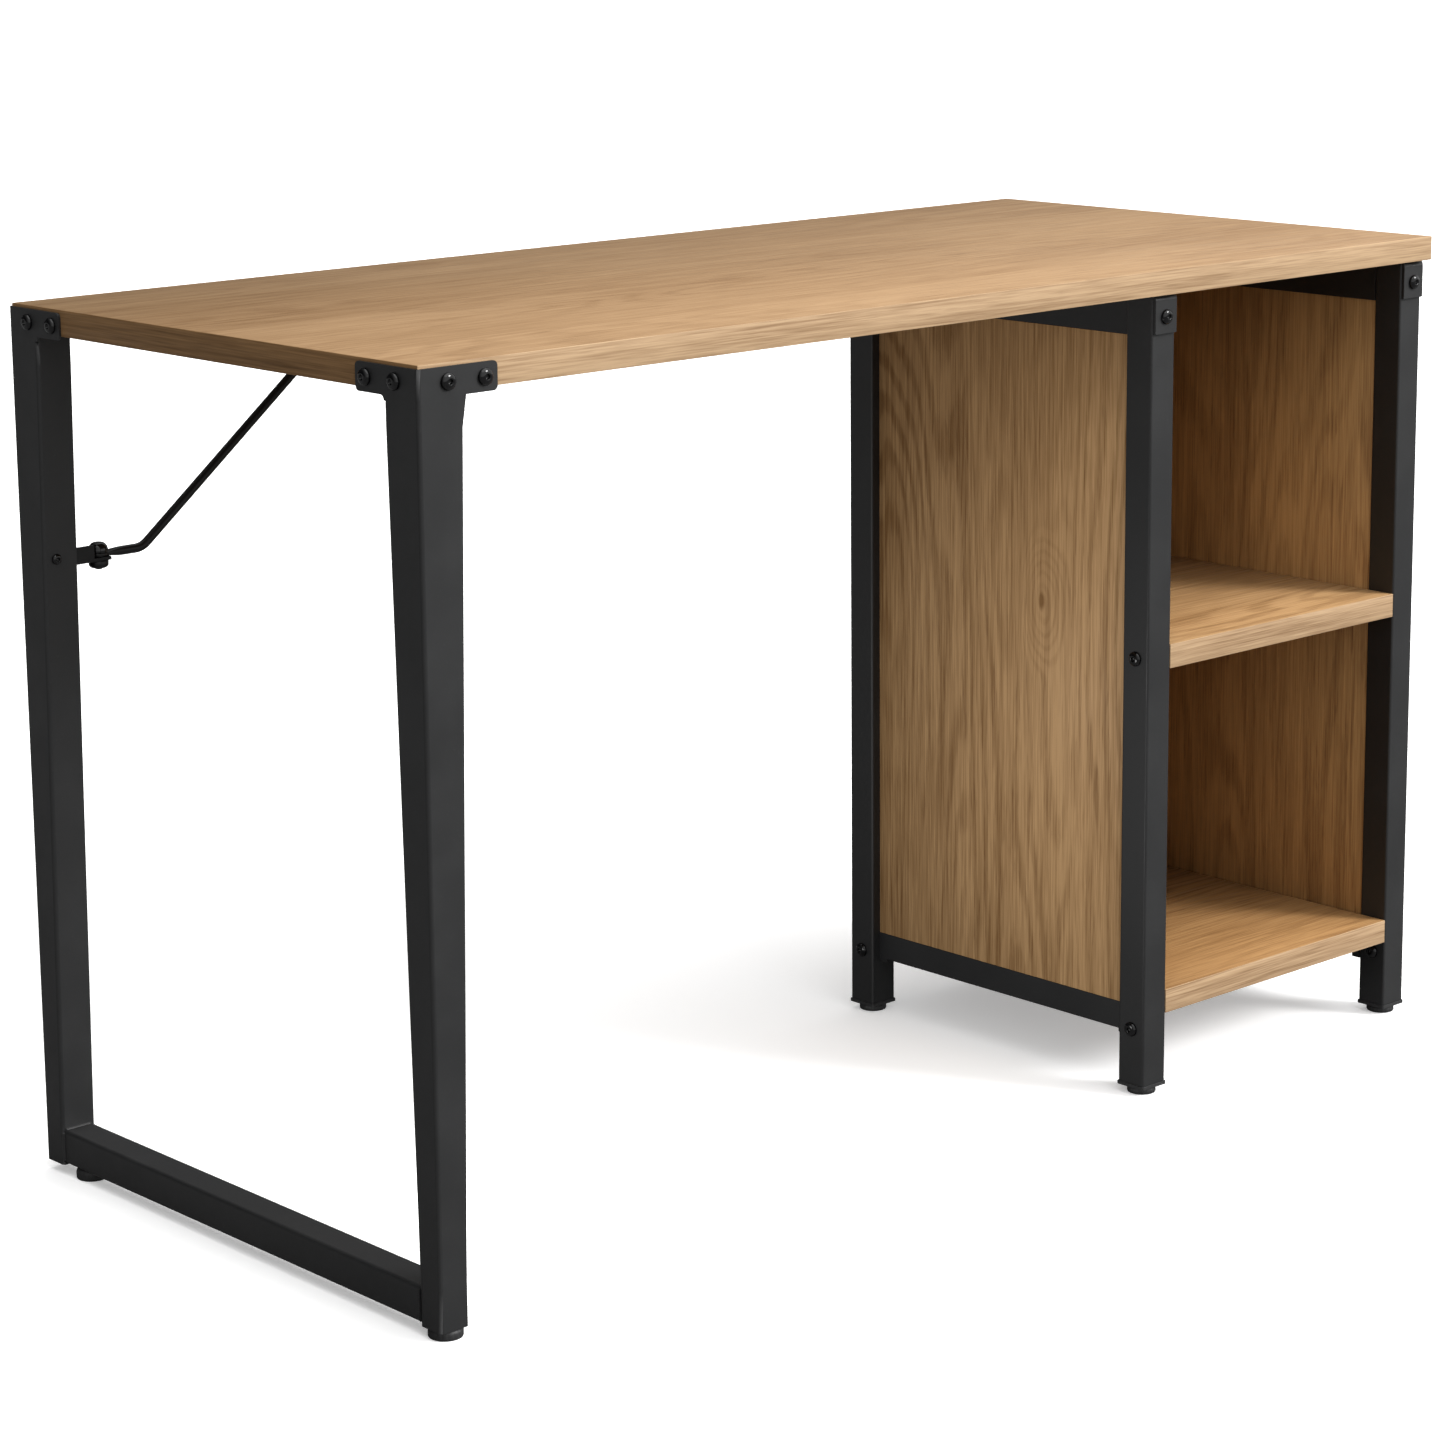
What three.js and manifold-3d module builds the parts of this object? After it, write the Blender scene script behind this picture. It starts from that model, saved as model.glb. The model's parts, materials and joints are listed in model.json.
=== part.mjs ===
// Computer desk: an oak-laminate top carried by a tapered steel leg frame on the left
// and by an open-fronted shelf cabinet with square-tube frames on the right.
// Millimetres, +Z up. X runs along the desk, Y from the front edge to the back, Z from the floor.
import * as THREE from "three";
import { mergeVertices } from "three/addons/utils/BufferGeometryUtils.js";
import Module from "manifold-3d";

const wasm = await Module();
wasm.setup();

// ---------------------------------------------------------------- driving dimensions
// The whole desk
const deskLength = 1200;
const deskDepth = 545;
const deskHeight = 755;
const topThickness = 22;

// Leg frame: folded sheet-steel channels joined by a square tube
const legSheet = 2;
const legWidthTop = 41;
const legWidthBottom = 26;
const legReturnWidth = 32;
const legBendRadius = 3;
const legBottom = 9;
const legTaperBelowTop = 27; // the taper starts this far under the top
const legStraightFoot = 36; // the lowest stretch has no taper, so the rail meets it square
const legSolePlate = 3; // closes the channel's foot and takes the levelling foot
const tabReach = 73;
const tabHeight = 22.5;
const tabTopInset = 2.6;
const tabCorner = 4;
const tabBoltNear = 26;
const tabBoltFar = 61;
const legRailSize = 30;
const legRailWall = 1.5;
const legRailLift = 1.5; // the rail's underside sits this far above the leg's
const legRailInset = 1.2;
const legRailCorner = 3;
const seatSize = 44;
const seatThickness = 3;
const seatGussetDrop = 36;
const seatGussetRun = 6;

// Levelling feet
const footStemDiameter = 8;
const footStemLength = 26;
const footGap = 0.5; // between a foot's shoulder and what it screws into, fully raised
const footHoleClearance = 0.3;
const footEdge = 1.5; // chamfer round the disc
const footWaist = 0.75; // share of the disc's height where its shoulder starts
const legFootDiameter = 28;
const legFootFromCorner = 14;
const frontFootSetback = 13;
const rearFootSetback = 44;
const cabinetFootDiameter = 26;

// Cabinet
const cabinetWidth = 380;
const cabinetDepth = 378;
const cabinetRightInset = 2;
const cabinetFrontInset = 10;
const postSize = 30;
const postWall = 1.5;
const postCorner = 2;
const postBottom = 10;
const endCapFlange = 3;
const endCapOverhang = 1;
const endCapPlugDepth = 14;
const endCapPlugClearance = 0.2;
const frameRecess = 10; // rails and side panels sit back from the posts' outer faces
const bottomRailHeight = 26;
const bottomRailUnderside = 55;
const topRailHeight = 36;
const railWall = 1.5;
const railLugLength = 9;
const railLugDrop = 3;
const panelThickness = 18;
const shelfThickness = 22;
const middleShelfTop = 417;
const bottomShelfTop = 96;
const ledgeReach = 16; // a ledge on each bottom rail carries the bottom shelf
const ledgeSheet = 3;
const ledgeFromPost = 12;
const backThickness = 5;
const backRecess = 1;
const backScrewInset = 60; // from a bay's side to the screws into the middle shelf
const backScrewInWood = 25;

// Clips that hold the top to the posts
const clipSheet = 3;
const clipWidth = 28;
const clipDrop = 35;
const clipBend = 5;
const clipBoltDrop = 20;

// Bolts
const boltDiameter = 6;
const boltHead = 13.5;
const boltHeadHeight = 3.8;
const boltSocket = 4;
const boltSocketDepth = 2;
const boltDome = [[0.5, 0.3], [0.42, 0.75], [0.26, 1]]; // shares of the head's width and height
const boltClearance = 0.3; // round a shank
const boltHeadGap = 0.1; // under a head
const boltInWood = 18;
const clipBoltLength = 16;
const frameBoltLength = 14;
const frameBoltHeight = 62;

// Diagonal brace from the rear leg to the underside of the top
const braceHeight = 538;
const braceFromBack = 25;
const braceBarHeight = 11.5;
const braceBarSheet = 3;
const braceFlangeGap = 0.5;
const braceBoltFromEnd = 10;
const bracePivotFromEnd = 58;
const braceTongueWidth = 17;
const braceRodDiameter = 8;
const braceEyeSheet = 3.6;
const braceEyeWidth = 15;
const braceLevelRun = 30;
const braceBendRun = 14;
const braceSlope = THREE.MathUtils.degToRad(39);
const braceScrewDiameter = 4.5;
const braceScrewHead = 9;
const braceScrewHeadHeight = 2.7;
const braceScrewInWood = 14;
const braceBarEndGap = 2; // from the bar's end to the leg's inner web
const pivotHeadDiameter = 17;
const pivotHeadHeight = 8.5;
const pivotNutHeight = 7;

// ---------------------------------------------------------------- places worked out from them
const topUnderside = deskHeight - topThickness;
const cabinetRight = deskLength - cabinetRightInset;
const cabinetLeft = cabinetRight - cabinetWidth;
const cabinetFront = cabinetFrontInset;
const cabinetBack = cabinetFront + cabinetDepth;
const bayLeft = cabinetLeft + postSize;
const bayRight = cabinetRight - postSize;
const postTop = topUnderside - clipSheet;
const bottomRailTop = bottomRailUnderside + bottomRailHeight;
const topRailUnderside = postTop - topRailHeight;
const backPlane = cabinetBack - backRecess - backThickness;

// ---------------------------------------------------------------- materials
const finishes = {
  oak: { color: 0xc49a6c, roughness: 0.55, metalness: 0 },
  steel: { color: 0x1f1f20, roughness: 0.5, metalness: 0.3 },
  bolt: { color: 0x0c0c0d, roughness: 0.25, metalness: 0.7 },
  plastic: { color: 0x151515, roughness: 0.6, metalness: 0 },
  board: { color: 0x9a7350, roughness: 0.7, metalness: 0 },
};

// ---------------------------------------------------------------- shape helpers
const axisBasis = {
  x: [[0, 1, 0], [0, 0, 1], [1, 0, 0]], // outline drawn in (y, z)
  y: [[1, 0, 0], [0, 0, 1], [0, -1, 0]], // outline drawn in (x, z)
  z: [[1, 0, 0], [0, 1, 0], [0, 0, 1]], // outline drawn in (x, y)
};

function turnedTo(axis, geometry) {
  const [u, v, w] = axisBasis[axis].map((column) => new THREE.Vector3(...column));
  return geometry.applyMatrix4(new THREE.Matrix4().makeBasis(u, v, w));
}

// A straight prism of an outline between two places on an axis.
function prism(shape, axis, from, to, curveSegments = 4) {
  const depth = to - from;
  const geometry = new THREE.ExtrudeGeometry(shape, { depth, bevelEnabled: false, curveSegments });
  turnedTo(axis, geometry);
  const start = axis === "y" ? to : from; // the y basis extrudes towards -y
  return geometry.translate(...["x", "y", "z"].map((name) => (name === axis ? start : 0)));
}

function block(x0, x1, y0, y1, z0, z1) {
  const geometry = new THREE.BoxGeometry(x1 - x0, y1 - y0, z1 - z0);
  return geometry.translate((x0 + x1) / 2, (y0 + y1) / 2, (z0 + z1) / 2);
}

function polygon(points) {
  return new THREE.Shape(points.map(([u, v]) => new THREE.Vector2(u, v)));
}

function circle(u, v, radius) {
  const shape = new THREE.Shape();
  shape.absarc(u, v, radius, 0, 2 * Math.PI);
  return shape;
}

function roundedRectangle(u0, u1, v0, v1, radius) {
  const shape = new THREE.Shape();
  shape.absarc(u1 - radius, v1 - radius, radius, 0, Math.PI / 2);
  shape.absarc(u0 + radius, v1 - radius, radius, Math.PI / 2, Math.PI);
  shape.absarc(u0 + radius, v0 + radius, radius, Math.PI, 1.5 * Math.PI);
  shape.absarc(u1 - radius, v0 + radius, radius, 1.5 * Math.PI, 2 * Math.PI);
  shape.closePath();
  return shape;
}

// A round rod along an axis, used for holes and clearances.
function rod(axis, u, v, radius, from, to) {
  return prism(circle(u, v, radius), axis, from, to, 6);
}

// Geometry to manifold solid and back, for cuts and joins.
function solidOf(geometry) {
  const bare = geometry.clone().deleteAttribute("normal").deleteAttribute("uv");
  const merged = mergeVertices(bare, 1e-4);
  const numProp = 3;
  const vertProperties = merged.attributes.position.array;
  const triVerts = new Uint32Array(merged.index.array);
  return new wasm.Manifold(new wasm.Mesh({ numProp, vertProperties, triVerts }));
}

function geometryOf(solid) {
  const { numProp, vertProperties, triVerts } = solid.getMesh();
  const count = vertProperties.length / numProp;
  const position = new Float32Array(3 * count);
  for (let i = 0; i < count; i++) {
    position.set(vertProperties.subarray(i * numProp, i * numProp + 3), 3 * i);
  }
  const geometry = new THREE.BufferGeometry();
  geometry.setAttribute("position", new THREE.BufferAttribute(position, 3));
  geometry.setIndex(new THREE.BufferAttribute(triVerts, 1));
  geometry.computeVertexNormals();
  return geometry;
}

function joined(...geometries) {
  return geometryOf(geometries.map(solidOf).reduce((whole, piece) => whole.add(piece)));
}

function cut(geometry, ...tools) {
  return geometryOf(tools.map(solidOf).reduce((rest, tool) => rest.subtract(tool), solidOf(geometry)));
}

// The same shape on the other side of the plane y = middle.
function mirroredInY(geometry, middle) {
  return mirrored(geometry, new THREE.Matrix4().makeScale(1, -1, 1), [0, 2 * middle, 0]);
}

function mirroredInX(geometry, middle) {
  return mirrored(geometry, new THREE.Matrix4().makeScale(-1, 1, 1), [2 * middle, 0, 0]);
}

function mirrored(geometry, flip, shift) {
  const turned = mergeVertices(geometry.clone().deleteAttribute("normal").deleteAttribute("uv"));
  const index = turned.index.array;
  for (let i = 0; i < index.length; i += 3) {
    [index[i + 1], index[i + 2]] = [index[i + 2], index[i + 1]];
  }
  turned.applyMatrix4(flip).translate(...shift);
  turned.computeVertexNormals();
  return turned;
}

// A solid skinned between outlines of equal point count at rising heights.
function lofted(sections) {
  const count = sections[0].outline.length;
  const position = sections.flatMap(({ z, outline }) => outline.flatMap(([x, y]) => [x, y, z]));
  const cap = THREE.ShapeUtils.triangulateShape(
    sections[0].outline.map(([x, y]) => new THREE.Vector2(x, y)),
    [],
  );
  const last = count * (sections.length - 1);
  const index = [];
  for (const [a, b, c] of cap) {
    index.push(a, c, b, last + a, last + b, last + c);
  }
  for (let level = 0; level < sections.length - 1; level++) {
    for (let i = 0; i < count; i++) {
      const a = level * count + i;
      const b = level * count + ((i + 1) % count);
      index.push(a, b, b + count, a, b + count, a + count);
    }
  }
  const geometry = new THREE.BufferGeometry();
  geometry.setAttribute("position", new THREE.Float32BufferAttribute(position, 3));
  geometry.setIndex(index);
  geometry.setAttribute("normal", new THREE.Float32BufferAttribute(position.length, 3));
  geometry.setAttribute("uv", new THREE.Float32BufferAttribute((position.length / 3) * 2, 2));
  geometry.computeVertexNormals();
  return geometry;
}

// A turned piece whose profile [radius, height] runs along +Z from its own origin.
function turned(profile, segments) {
  const points = profile.map(([radius, height]) => new THREE.Vector2(radius, height));
  return new THREE.LatheGeometry(points, segments).rotateX(Math.PI / 2);
}

// ---------------------------------------------------------------- the assembly
const desk = new THREE.Group();

function add(name, finish, geometry) {
  const material = new THREE.MeshStandardMaterial(finishes[finish]);
  const mesh = new THREE.Mesh(geometry, material);
  mesh.name = name;
  desk.add(mesh);
  return mesh;
}

const facing = {
  "-x": [[0, 0, 1], [0, 1, 0], [-1, 0, 0]],
  "+x": [[0, 0, -1], [0, 1, 0], [1, 0, 0]],
  "-y": [[1, 0, 0], [0, 0, 1], [0, -1, 0]],
  "+y": [[-1, 0, 0], [0, 0, 1], [0, 1, 0]],
  "-z": [[1, 0, 0], [0, -1, 0], [0, 0, -1]],
  "+z": [[1, 0, 0], [0, 1, 0], [0, 0, 1]],
};

// Turns a piece made along +Z so that +Z faces the given way, and moves its origin.
function aimed(geometry, way, place) {
  const [u, v, w] = facing[way].map((column) => new THREE.Vector3(...column));
  return geometry.applyMatrix4(new THREE.Matrix4().makeBasis(u, v, w)).translate(...place);
}

// A domed button-head bolt. Its origin is on the face it clamps, and its head faces the given way.
function boltGeometry(length, diameter = boltDiameter, head = boltHead, height = boltHeadHeight) {
  const socketDepth = Math.min(boltSocketDepth, height / 2);
  const socket = Math.min(boltSocket, head / 3) / 2;
  const profile = [
    [0, -length],
    [diameter / 2, -length],
    [diameter / 2, boltHeadGap],
    [head / 2, boltHeadGap],
    ...boltDome.map(([across, up]) => [across * head, boltHeadGap + up * height]),
    [socket, boltHeadGap + height],
    [socket, boltHeadGap + height - socketDepth],
    [0, boltHeadGap + height - socketDepth],
  ];
  return turned(profile, 10);
}

function addBolt(name, way, place, length) {
  return add(name, "bolt", aimed(boltGeometry(length), way, place));
}

const holeRadius = boltDiameter / 2 + boltClearance;

// ---- Leg frame -------------------------------------------------------------------------------
const legRailUnderside = legBottom + legRailLift;
const legStraightTop = legBottom + legStraightFoot;
const taperTop = topUnderside - legTaperBelowTop;
const tabTop = deskHeight - tabTopInset;
const tabBottom = tabTop - tabHeight;

// Width of the tapered web and flange at a height.
function legWidthAt(z) {
  const share = THREE.MathUtils.clamp((z - legStraightTop) / (taperTop - legStraightTop), 0, 1);
  return THREE.MathUtils.lerp(legWidthBottom, legWidthTop, share);
}

function arcPoints(cx, cy, radius, from, to, steps = 3) {
  return Array.from({ length: steps + 1 }, (_, i) => {
    const angle = THREE.MathUtils.lerp(from, to, i / steps);
    return [cx + radius * Math.cos(angle), cy + radius * Math.sin(angle)];
  });
}

// The front leg's channel in plan: flange along the front edge, web along the side edge,
// return flange facing the rear leg. Its outer faces lie one sheet outside the top's edges.
function channelOutline(width, returnWidth) {
  const out = -legSheet;
  const inner = legBendRadius - legSheet;
  const near = out + legBendRadius;
  const far = out + width - legBendRadius;
  const quarter = Math.PI / 2;
  return [
    [out + width, out],
    [out + width, 0],
    ...arcPoints(near, near, inner, 3 * quarter, 2 * quarter),
    ...arcPoints(near, far, inner, 2 * quarter, quarter),
    [out + returnWidth, out + width - legSheet],
    [out + returnWidth, out + width],
    ...arcPoints(near, far, legBendRadius, quarter, 2 * quarter),
    ...arcPoints(near, near, legBendRadius, 2 * quarter, 3 * quarter),
  ];
}

// The same sheet without the return flange, for the stretch beside the top's edge. Its bend is
// struck sharp inside, to sit close on the top's square corner.
function angleOutline(width) {
  const out = -legSheet;
  const near = out + legBendRadius;
  const quarter = Math.PI / 2;
  return [
    [out + width, out],
    [out + width, 0],
    [0, 0],
    [0, out + width],
    [out, out + width],
    ...arcPoints(near, near, legBendRadius, 2 * quarter, 3 * quarter),
  ];
}

// The ear that reaches along the top's edge and takes the bolts, drawn as (along, height).
function earShape() {
  const root = legWidthTop - legSheet;
  const ear = new THREE.Shape();
  ear.moveTo(root - tabCorner, tabTop);
  ear.lineTo(root - tabCorner, tabBottom - tabCorner);
  ear.lineTo(root, tabBottom - tabCorner);
  ear.absarc(root + tabCorner, tabBottom - tabCorner, tabCorner, Math.PI, Math.PI / 2, true);
  ear.absarc(tabReach - tabCorner, tabBottom + tabCorner, tabCorner, -Math.PI / 2, 0);
  ear.absarc(tabReach - tabCorner, tabTop - tabCorner, tabCorner, 0, Math.PI / 2);
  ear.closePath();
  return ear;
}

const tabBoltHeight = (tabTop + tabBottom) / 2;
const tabBolts = [tabBoltNear, tabBoltFar];
const legUnderTop = topUnderside - seatThickness;

function legGeometry() {
  const channel = lofted(
    [legBottom, legStraightTop, taperTop, legUnderTop].map((z) => ({
      z,
      outline: channelOutline(legWidthAt(z), legReturnWidth),
    })),
  );
  const angle = lofted([legUnderTop, tabTop].map((z) => ({ z, outline: angleOutline(legWidthTop) })));
  const sole = block(
    -legSheet / 2,
    legWidthBottom - legSheet,
    -legSheet / 2,
    legWidthBottom - legSheet - legSheet / 2,
    legBottom,
    legBottom + legSolePlate,
  );
  const body = joined(
    channel,
    angle,
    sole,
    prism(earShape(), "y", -legSheet, 0),
    prism(earShape(), "x", -legSheet, 0),
  );
  const holes = tabBolts.flatMap((along) => [
    rod("y", along, tabBoltHeight, holeRadius, -2 * legSheet, legSheet),
    rod("x", along, tabBoltHeight, holeRadius, -2 * legSheet, legSheet),
  ]);
  return cut(body, ...holes);
}

const frontLeg = legGeometry();
const rearLeg = mirroredInY(frontLeg, deskDepth / 2);
const stemHole = footStemDiameter / 2 + footHoleClearance;
const frontFootPlace = [legFootFromCorner, frontFootSetback];
const rearFootPlace = [legFootFromCorner, deskDepth - rearFootSetback];

// Rear leg with the brace bracket's screw hole through its return flange.
const rearFlangeFrontAt = (z) => deskDepth + legSheet - legWidthAt(z);
const braceFlangeFront = rearFlangeFrontAt(braceHeight);
const braceScrewHole = rod(
  "y",
  braceBoltFromEnd,
  braceHeight + braceEyeSheet,
  braceScrewDiameter / 2 + boltClearance,
  braceFlangeFront - legSheet,
  braceFlangeFront + 2 * legSheet,
);
const frontStemHole = rod("z", ...frontFootPlace, stemHole, legBottom - 1, legBottom + legSolePlate + 1);
add("front_leg", "steel", cut(frontLeg, frontStemHole));
add("rear_leg", "steel", cut(rearLeg, braceScrewHole));

// Square tube between the two return flanges.
function squareTube(axis, u0, u1, v0, v1, from, to, wall, corner) {
  const outer = roundedRectangle(u0, u1, v0, v1, corner);
  const inner = new THREE.Path();
  inner.moveTo(u0 + wall, v0 + wall);
  inner.lineTo(u0 + wall, v1 - wall);
  inner.lineTo(u1 - wall, v1 - wall);
  inner.lineTo(u1 - wall, v0 + wall);
  inner.closePath();
  outer.holes.push(inner);
  return prism(outer, axis, from, to, 2);
}

const legRailStart = legWidthBottom - legSheet;
const legRailLeft = -legSheet + legRailInset;
const legRail = squareTube(
  "y",
  legRailLeft,
  legRailLeft + legRailSize,
  legRailUnderside,
  legRailUnderside + legRailSize,
  legRailStart,
  deskDepth - legRailStart,
  legRailWall,
  legRailCorner,
);
const rearStemHole = rod(
  "z",
  ...rearFootPlace,
  stemHole,
  legRailUnderside - 1,
  legRailUnderside + 2 * legRailWall,
);
add("leg_rail", "steel", cut(legRail, rearStemHole));

// Seats welded into the leg heads, under the top, each with a gusset behind the flange.
function seatGeometry() {
  const clearOfBend = legBendRadius - legSheet;
  const plate = block(
    clearOfBend,
    seatSize,
    clearOfBend,
    legWidthTop - legSheet,
    legUnderTop,
    topUnderside,
  );
  const lip = legWidthTop - legSheet;
  const gusset = prism(
    polygon([
      [lip - 2 * seatGussetRun, legUnderTop],
      [lip - 2 * seatGussetRun, legUnderTop - seatGussetDrop],
      [lip, legUnderTop - seatGussetDrop],
      [lip + seatGussetRun, legUnderTop],
    ]),
    "y",
    boltHeadGap,
    boltHeadGap + legSheet,
  );
  return joined(plate, gusset);
}
const frontSeat = seatGeometry();
add("front_leg_seat", "steel", frontSeat);
add("rear_leg_seat", "steel", mirroredInY(frontSeat, deskDepth / 2));

tabBolts.forEach((along, i) => {
  const number = i + 1;
  const back = deskDepth - along;
  const outerBack = deskDepth + legSheet;
  const reach = boltInWood + legSheet;
  addBolt(`front_leg_face_bolt_${number}`, "-y", [along, -legSheet, tabBoltHeight], reach);
  addBolt(`front_leg_side_bolt_${number}`, "-x", [-legSheet, along, tabBoltHeight], reach);
  addBolt(`rear_leg_face_bolt_${number}`, "+y", [along, outerBack, tabBoltHeight], reach);
  addBolt(`rear_leg_side_bolt_${number}`, "-x", [-legSheet, back, tabBoltHeight], reach);
});

// ---- Levelling feet --------------------------------------------------------------------------
// A plastic disc on a threaded stem. It stands on the floor with its shoulder just under its holder.
function footGeometry(diameter, holder) {
  const radius = diameter / 2;
  const shoulder = holder - footGap;
  return turned(
    [
      [0, 0],
      [radius - footEdge, 0],
      [radius, footEdge],
      [radius, shoulder * footWaist],
      [radius - footEdge, shoulder],
      [footStemDiameter / 2, shoulder],
      [footStemDiameter / 2, holder + footStemLength],
      [0, holder + footStemLength],
    ],
    16,
  );
}

function addFoot(name, diameter, holder, [x, y]) {
  return add(name, "plastic", footGeometry(diameter, holder).translate(x, y, 0));
}
addFoot("front_leg_foot", legFootDiameter, legBottom, frontFootPlace);
addFoot("rear_leg_foot", legFootDiameter, legRailUnderside, rearFootPlace);

// ---- Diagonal brace --------------------------------------------------------------------------
const braceY = deskDepth - braceFromBack;
const tongueTop = braceHeight - braceEyeSheet / 2;
const tongueUnderside = tongueTop - braceBarSheet;
const barFront = rearFlangeFrontAt(tongueUnderside) + legSheet + braceFlangeGap;
const barBottom = tongueUnderside;
const barTop = tongueTop + braceBarHeight;
const braceScrewHeight = braceHeight + braceEyeSheet;
const eyeUnderside = tongueTop + boltHeadGap;
const eyeTop = eyeUnderside + braceEyeSheet;

function braceBracketGeometry() {
  const bar = block(
    braceBarEndGap,
    bracePivotFromEnd - braceTongueWidth / 2,
    barFront,
    barFront + braceBarSheet,
    barBottom,
    barTop,
  );
  const tongue = block(
    bracePivotFromEnd - braceTongueWidth,
    bracePivotFromEnd + braceTongueWidth / 2,
    barFront,
    braceY + braceTongueWidth / 2,
    tongueUnderside,
    tongueTop,
  );
  const screwRadius = braceScrewDiameter / 2 + boltClearance;
  return cut(
    joined(bar, tongue),
    rod("y", braceBoltFromEnd, braceScrewHeight, screwRadius, barFront - 1, barFront + 2 * braceBarSheet),
    rod("z", bracePivotFromEnd, braceY, holeRadius, tongueUnderside - 1, tongueTop + 1),
  );
}
add("brace_bracket", "steel", braceBracketGeometry());

// The flange leans with the leg's taper, so the head bears on it at its upper rim.
const bracketScrewSeat = rearFlangeFrontAt(braceScrewHeight + braceScrewHead / 2) - boltHeadGap;
const bracketScrew = boltGeometry(
  2 * legSheet + braceFlangeGap + braceBarSheet,
  braceScrewDiameter,
  braceScrewHead,
  braceScrewHeadHeight,
);
add(
  "brace_bracket_screw",
  "bolt",
  aimed(bracketScrew, "-y", [braceBoltFromEnd, bracketScrewSeat, braceScrewHeight]),
);

const pivotLength = eyeTop - tongueUnderside + pivotNutHeight + 1;
const pivotPlace = [bracePivotFromEnd, braceY, eyeTop];
const pivotBolt = boltGeometry(pivotLength, boltDiameter, pivotHeadDiameter, pivotHeadHeight);
add("brace_pivot_bolt", "bolt", aimed(pivotBolt, "+z", pivotPlace));

const nutTop = tongueUnderside - boltHeadGap;
const nutOutline = new THREE.Shape();
nutOutline.absarc(bracePivotFromEnd, braceY, pivotHeadDiameter / 2, 0, 2 * Math.PI);
const nutHole = new THREE.Path();
nutHole.absarc(bracePivotFromEnd, braceY, boltDiameter / 2 + boltHeadGap, 0, 2 * Math.PI, true);
nutOutline.holes.push(nutHole);
add("brace_pivot_nut", "bolt", prism(nutOutline, "z", nutTop - pivotNutHeight, nutTop, 8));

// The rod: level out of the bracket's eye, then straight up to an eye under the top.
const rodLevel = (eyeUnderside + eyeTop) / 2;
const upperEyeTop = topUnderside - boltHeadGap;
const upperEyeMiddle = upperEyeTop - braceEyeSheet / 2;
const bendStart = bracePivotFromEnd + braceLevelRun;
const bendCorner = bendStart + braceBendRun;
const bendUp = [
  bendCorner + braceBendRun * Math.cos(braceSlope),
  rodLevel + braceBendRun * Math.sin(braceSlope),
];
const upperBendX = bendCorner + (upperEyeMiddle - rodLevel) / Math.tan(braceSlope);
const upperBendDown = [
  upperBendX - braceBendRun * Math.cos(braceSlope),
  upperEyeMiddle - braceBendRun * Math.sin(braceSlope),
];
const upperEyeX = upperBendX + braceBendRun + braceEyeWidth;

function braceRodGeometry() {
  const at = (x, z) => new THREE.Vector3(x, braceY, z);
  const path = new THREE.CurvePath();
  const pastTongue = bracePivotFromEnd + braceTongueWidth / 2 + 1;
  path.add(new THREE.LineCurve3(at(pastTongue, rodLevel), at(bendStart, rodLevel)));
  path.add(
    new THREE.QuadraticBezierCurve3(at(bendStart, rodLevel), at(bendCorner, rodLevel), at(...bendUp)),
  );
  path.add(new THREE.LineCurve3(at(...bendUp), at(...upperBendDown)));
  path.add(
    new THREE.QuadraticBezierCurve3(
      at(...upperBendDown),
      at(upperBendX, upperEyeMiddle),
      at(upperBendX + braceBendRun, upperEyeMiddle),
    ),
  );
  const bar = new THREE.ExtrudeGeometry(circle(0, 0, braceRodDiameter / 2), {
    extrudePath: path,
    steps: 40,
    bevelEnabled: false,
    curveSegments: 5,
  });
  const eye = (x, z0) => prism(circle(x, braceY, braceEyeWidth / 2), "z", z0, z0 + braceEyeSheet, 8);
  const neck = (x0, x1, z0) =>
    block(x0, x1, braceY - braceRodDiameter / 2, braceY + braceRodDiameter / 2, z0, z0 + braceEyeSheet);
  const upperUnderside = upperEyeTop - braceEyeSheet;
  const belowTop = block(
    0,
    deskLength,
    0,
    deskDepth,
    upperEyeTop,
    upperEyeTop + 2 * braceRodDiameter,
  );
  const body = joined(
    bar,
    eye(bracePivotFromEnd, eyeUnderside),
    neck(bracePivotFromEnd, bendStart, eyeUnderside),
    eye(upperEyeX, upperUnderside),
    neck(upperBendX, upperEyeX, upperUnderside),
  );
  const screwRadius = braceScrewDiameter / 2 + boltClearance;
  return cut(
    body,
    belowTop,
    rod("z", bracePivotFromEnd, braceY, holeRadius, eyeUnderside - 1, eyeTop + 1),
    rod("z", upperEyeX, braceY, screwRadius, upperUnderside - 1, upperEyeTop + 1),
  );
}
add("brace_rod", "steel", braceRodGeometry());

const upperScrewPlace = [upperEyeX, braceY, upperEyeTop - braceEyeSheet];
const upperScrewLength = braceEyeSheet + braceScrewInWood;
const upperScrew = boltGeometry(
  upperScrewLength,
  braceScrewDiameter,
  braceScrewHead,
  braceScrewHeadHeight,
);
add("brace_top_screw", "bolt", aimed(upperScrew, "-z", upperScrewPlace));

// ---- The top ---------------------------------------------------------------------------------
const boltReach = boltInWood + boltClearance;
const topHoles = tabBolts.flatMap((along) => [
  rod("y", along, tabBoltHeight, holeRadius, -1, boltReach),
  rod("x", along, tabBoltHeight, holeRadius, -1, boltReach),
  rod("y", along, tabBoltHeight, holeRadius, deskDepth - boltReach, deskDepth + 1),
  rod("x", deskDepth - along, tabBoltHeight, holeRadius, -1, boltReach),
]);
const braceScrewPilot = rod(
  "z",
  upperEyeX,
  braceY,
  braceScrewDiameter / 2 + boltClearance,
  topUnderside - 1,
  topUnderside + upperScrewLength,
);
add(
  "desktop",
  "oak",
  cut(block(0, deskLength, 0, deskDepth, topUnderside, deskHeight), ...topHoles, braceScrewPilot),
);

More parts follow.
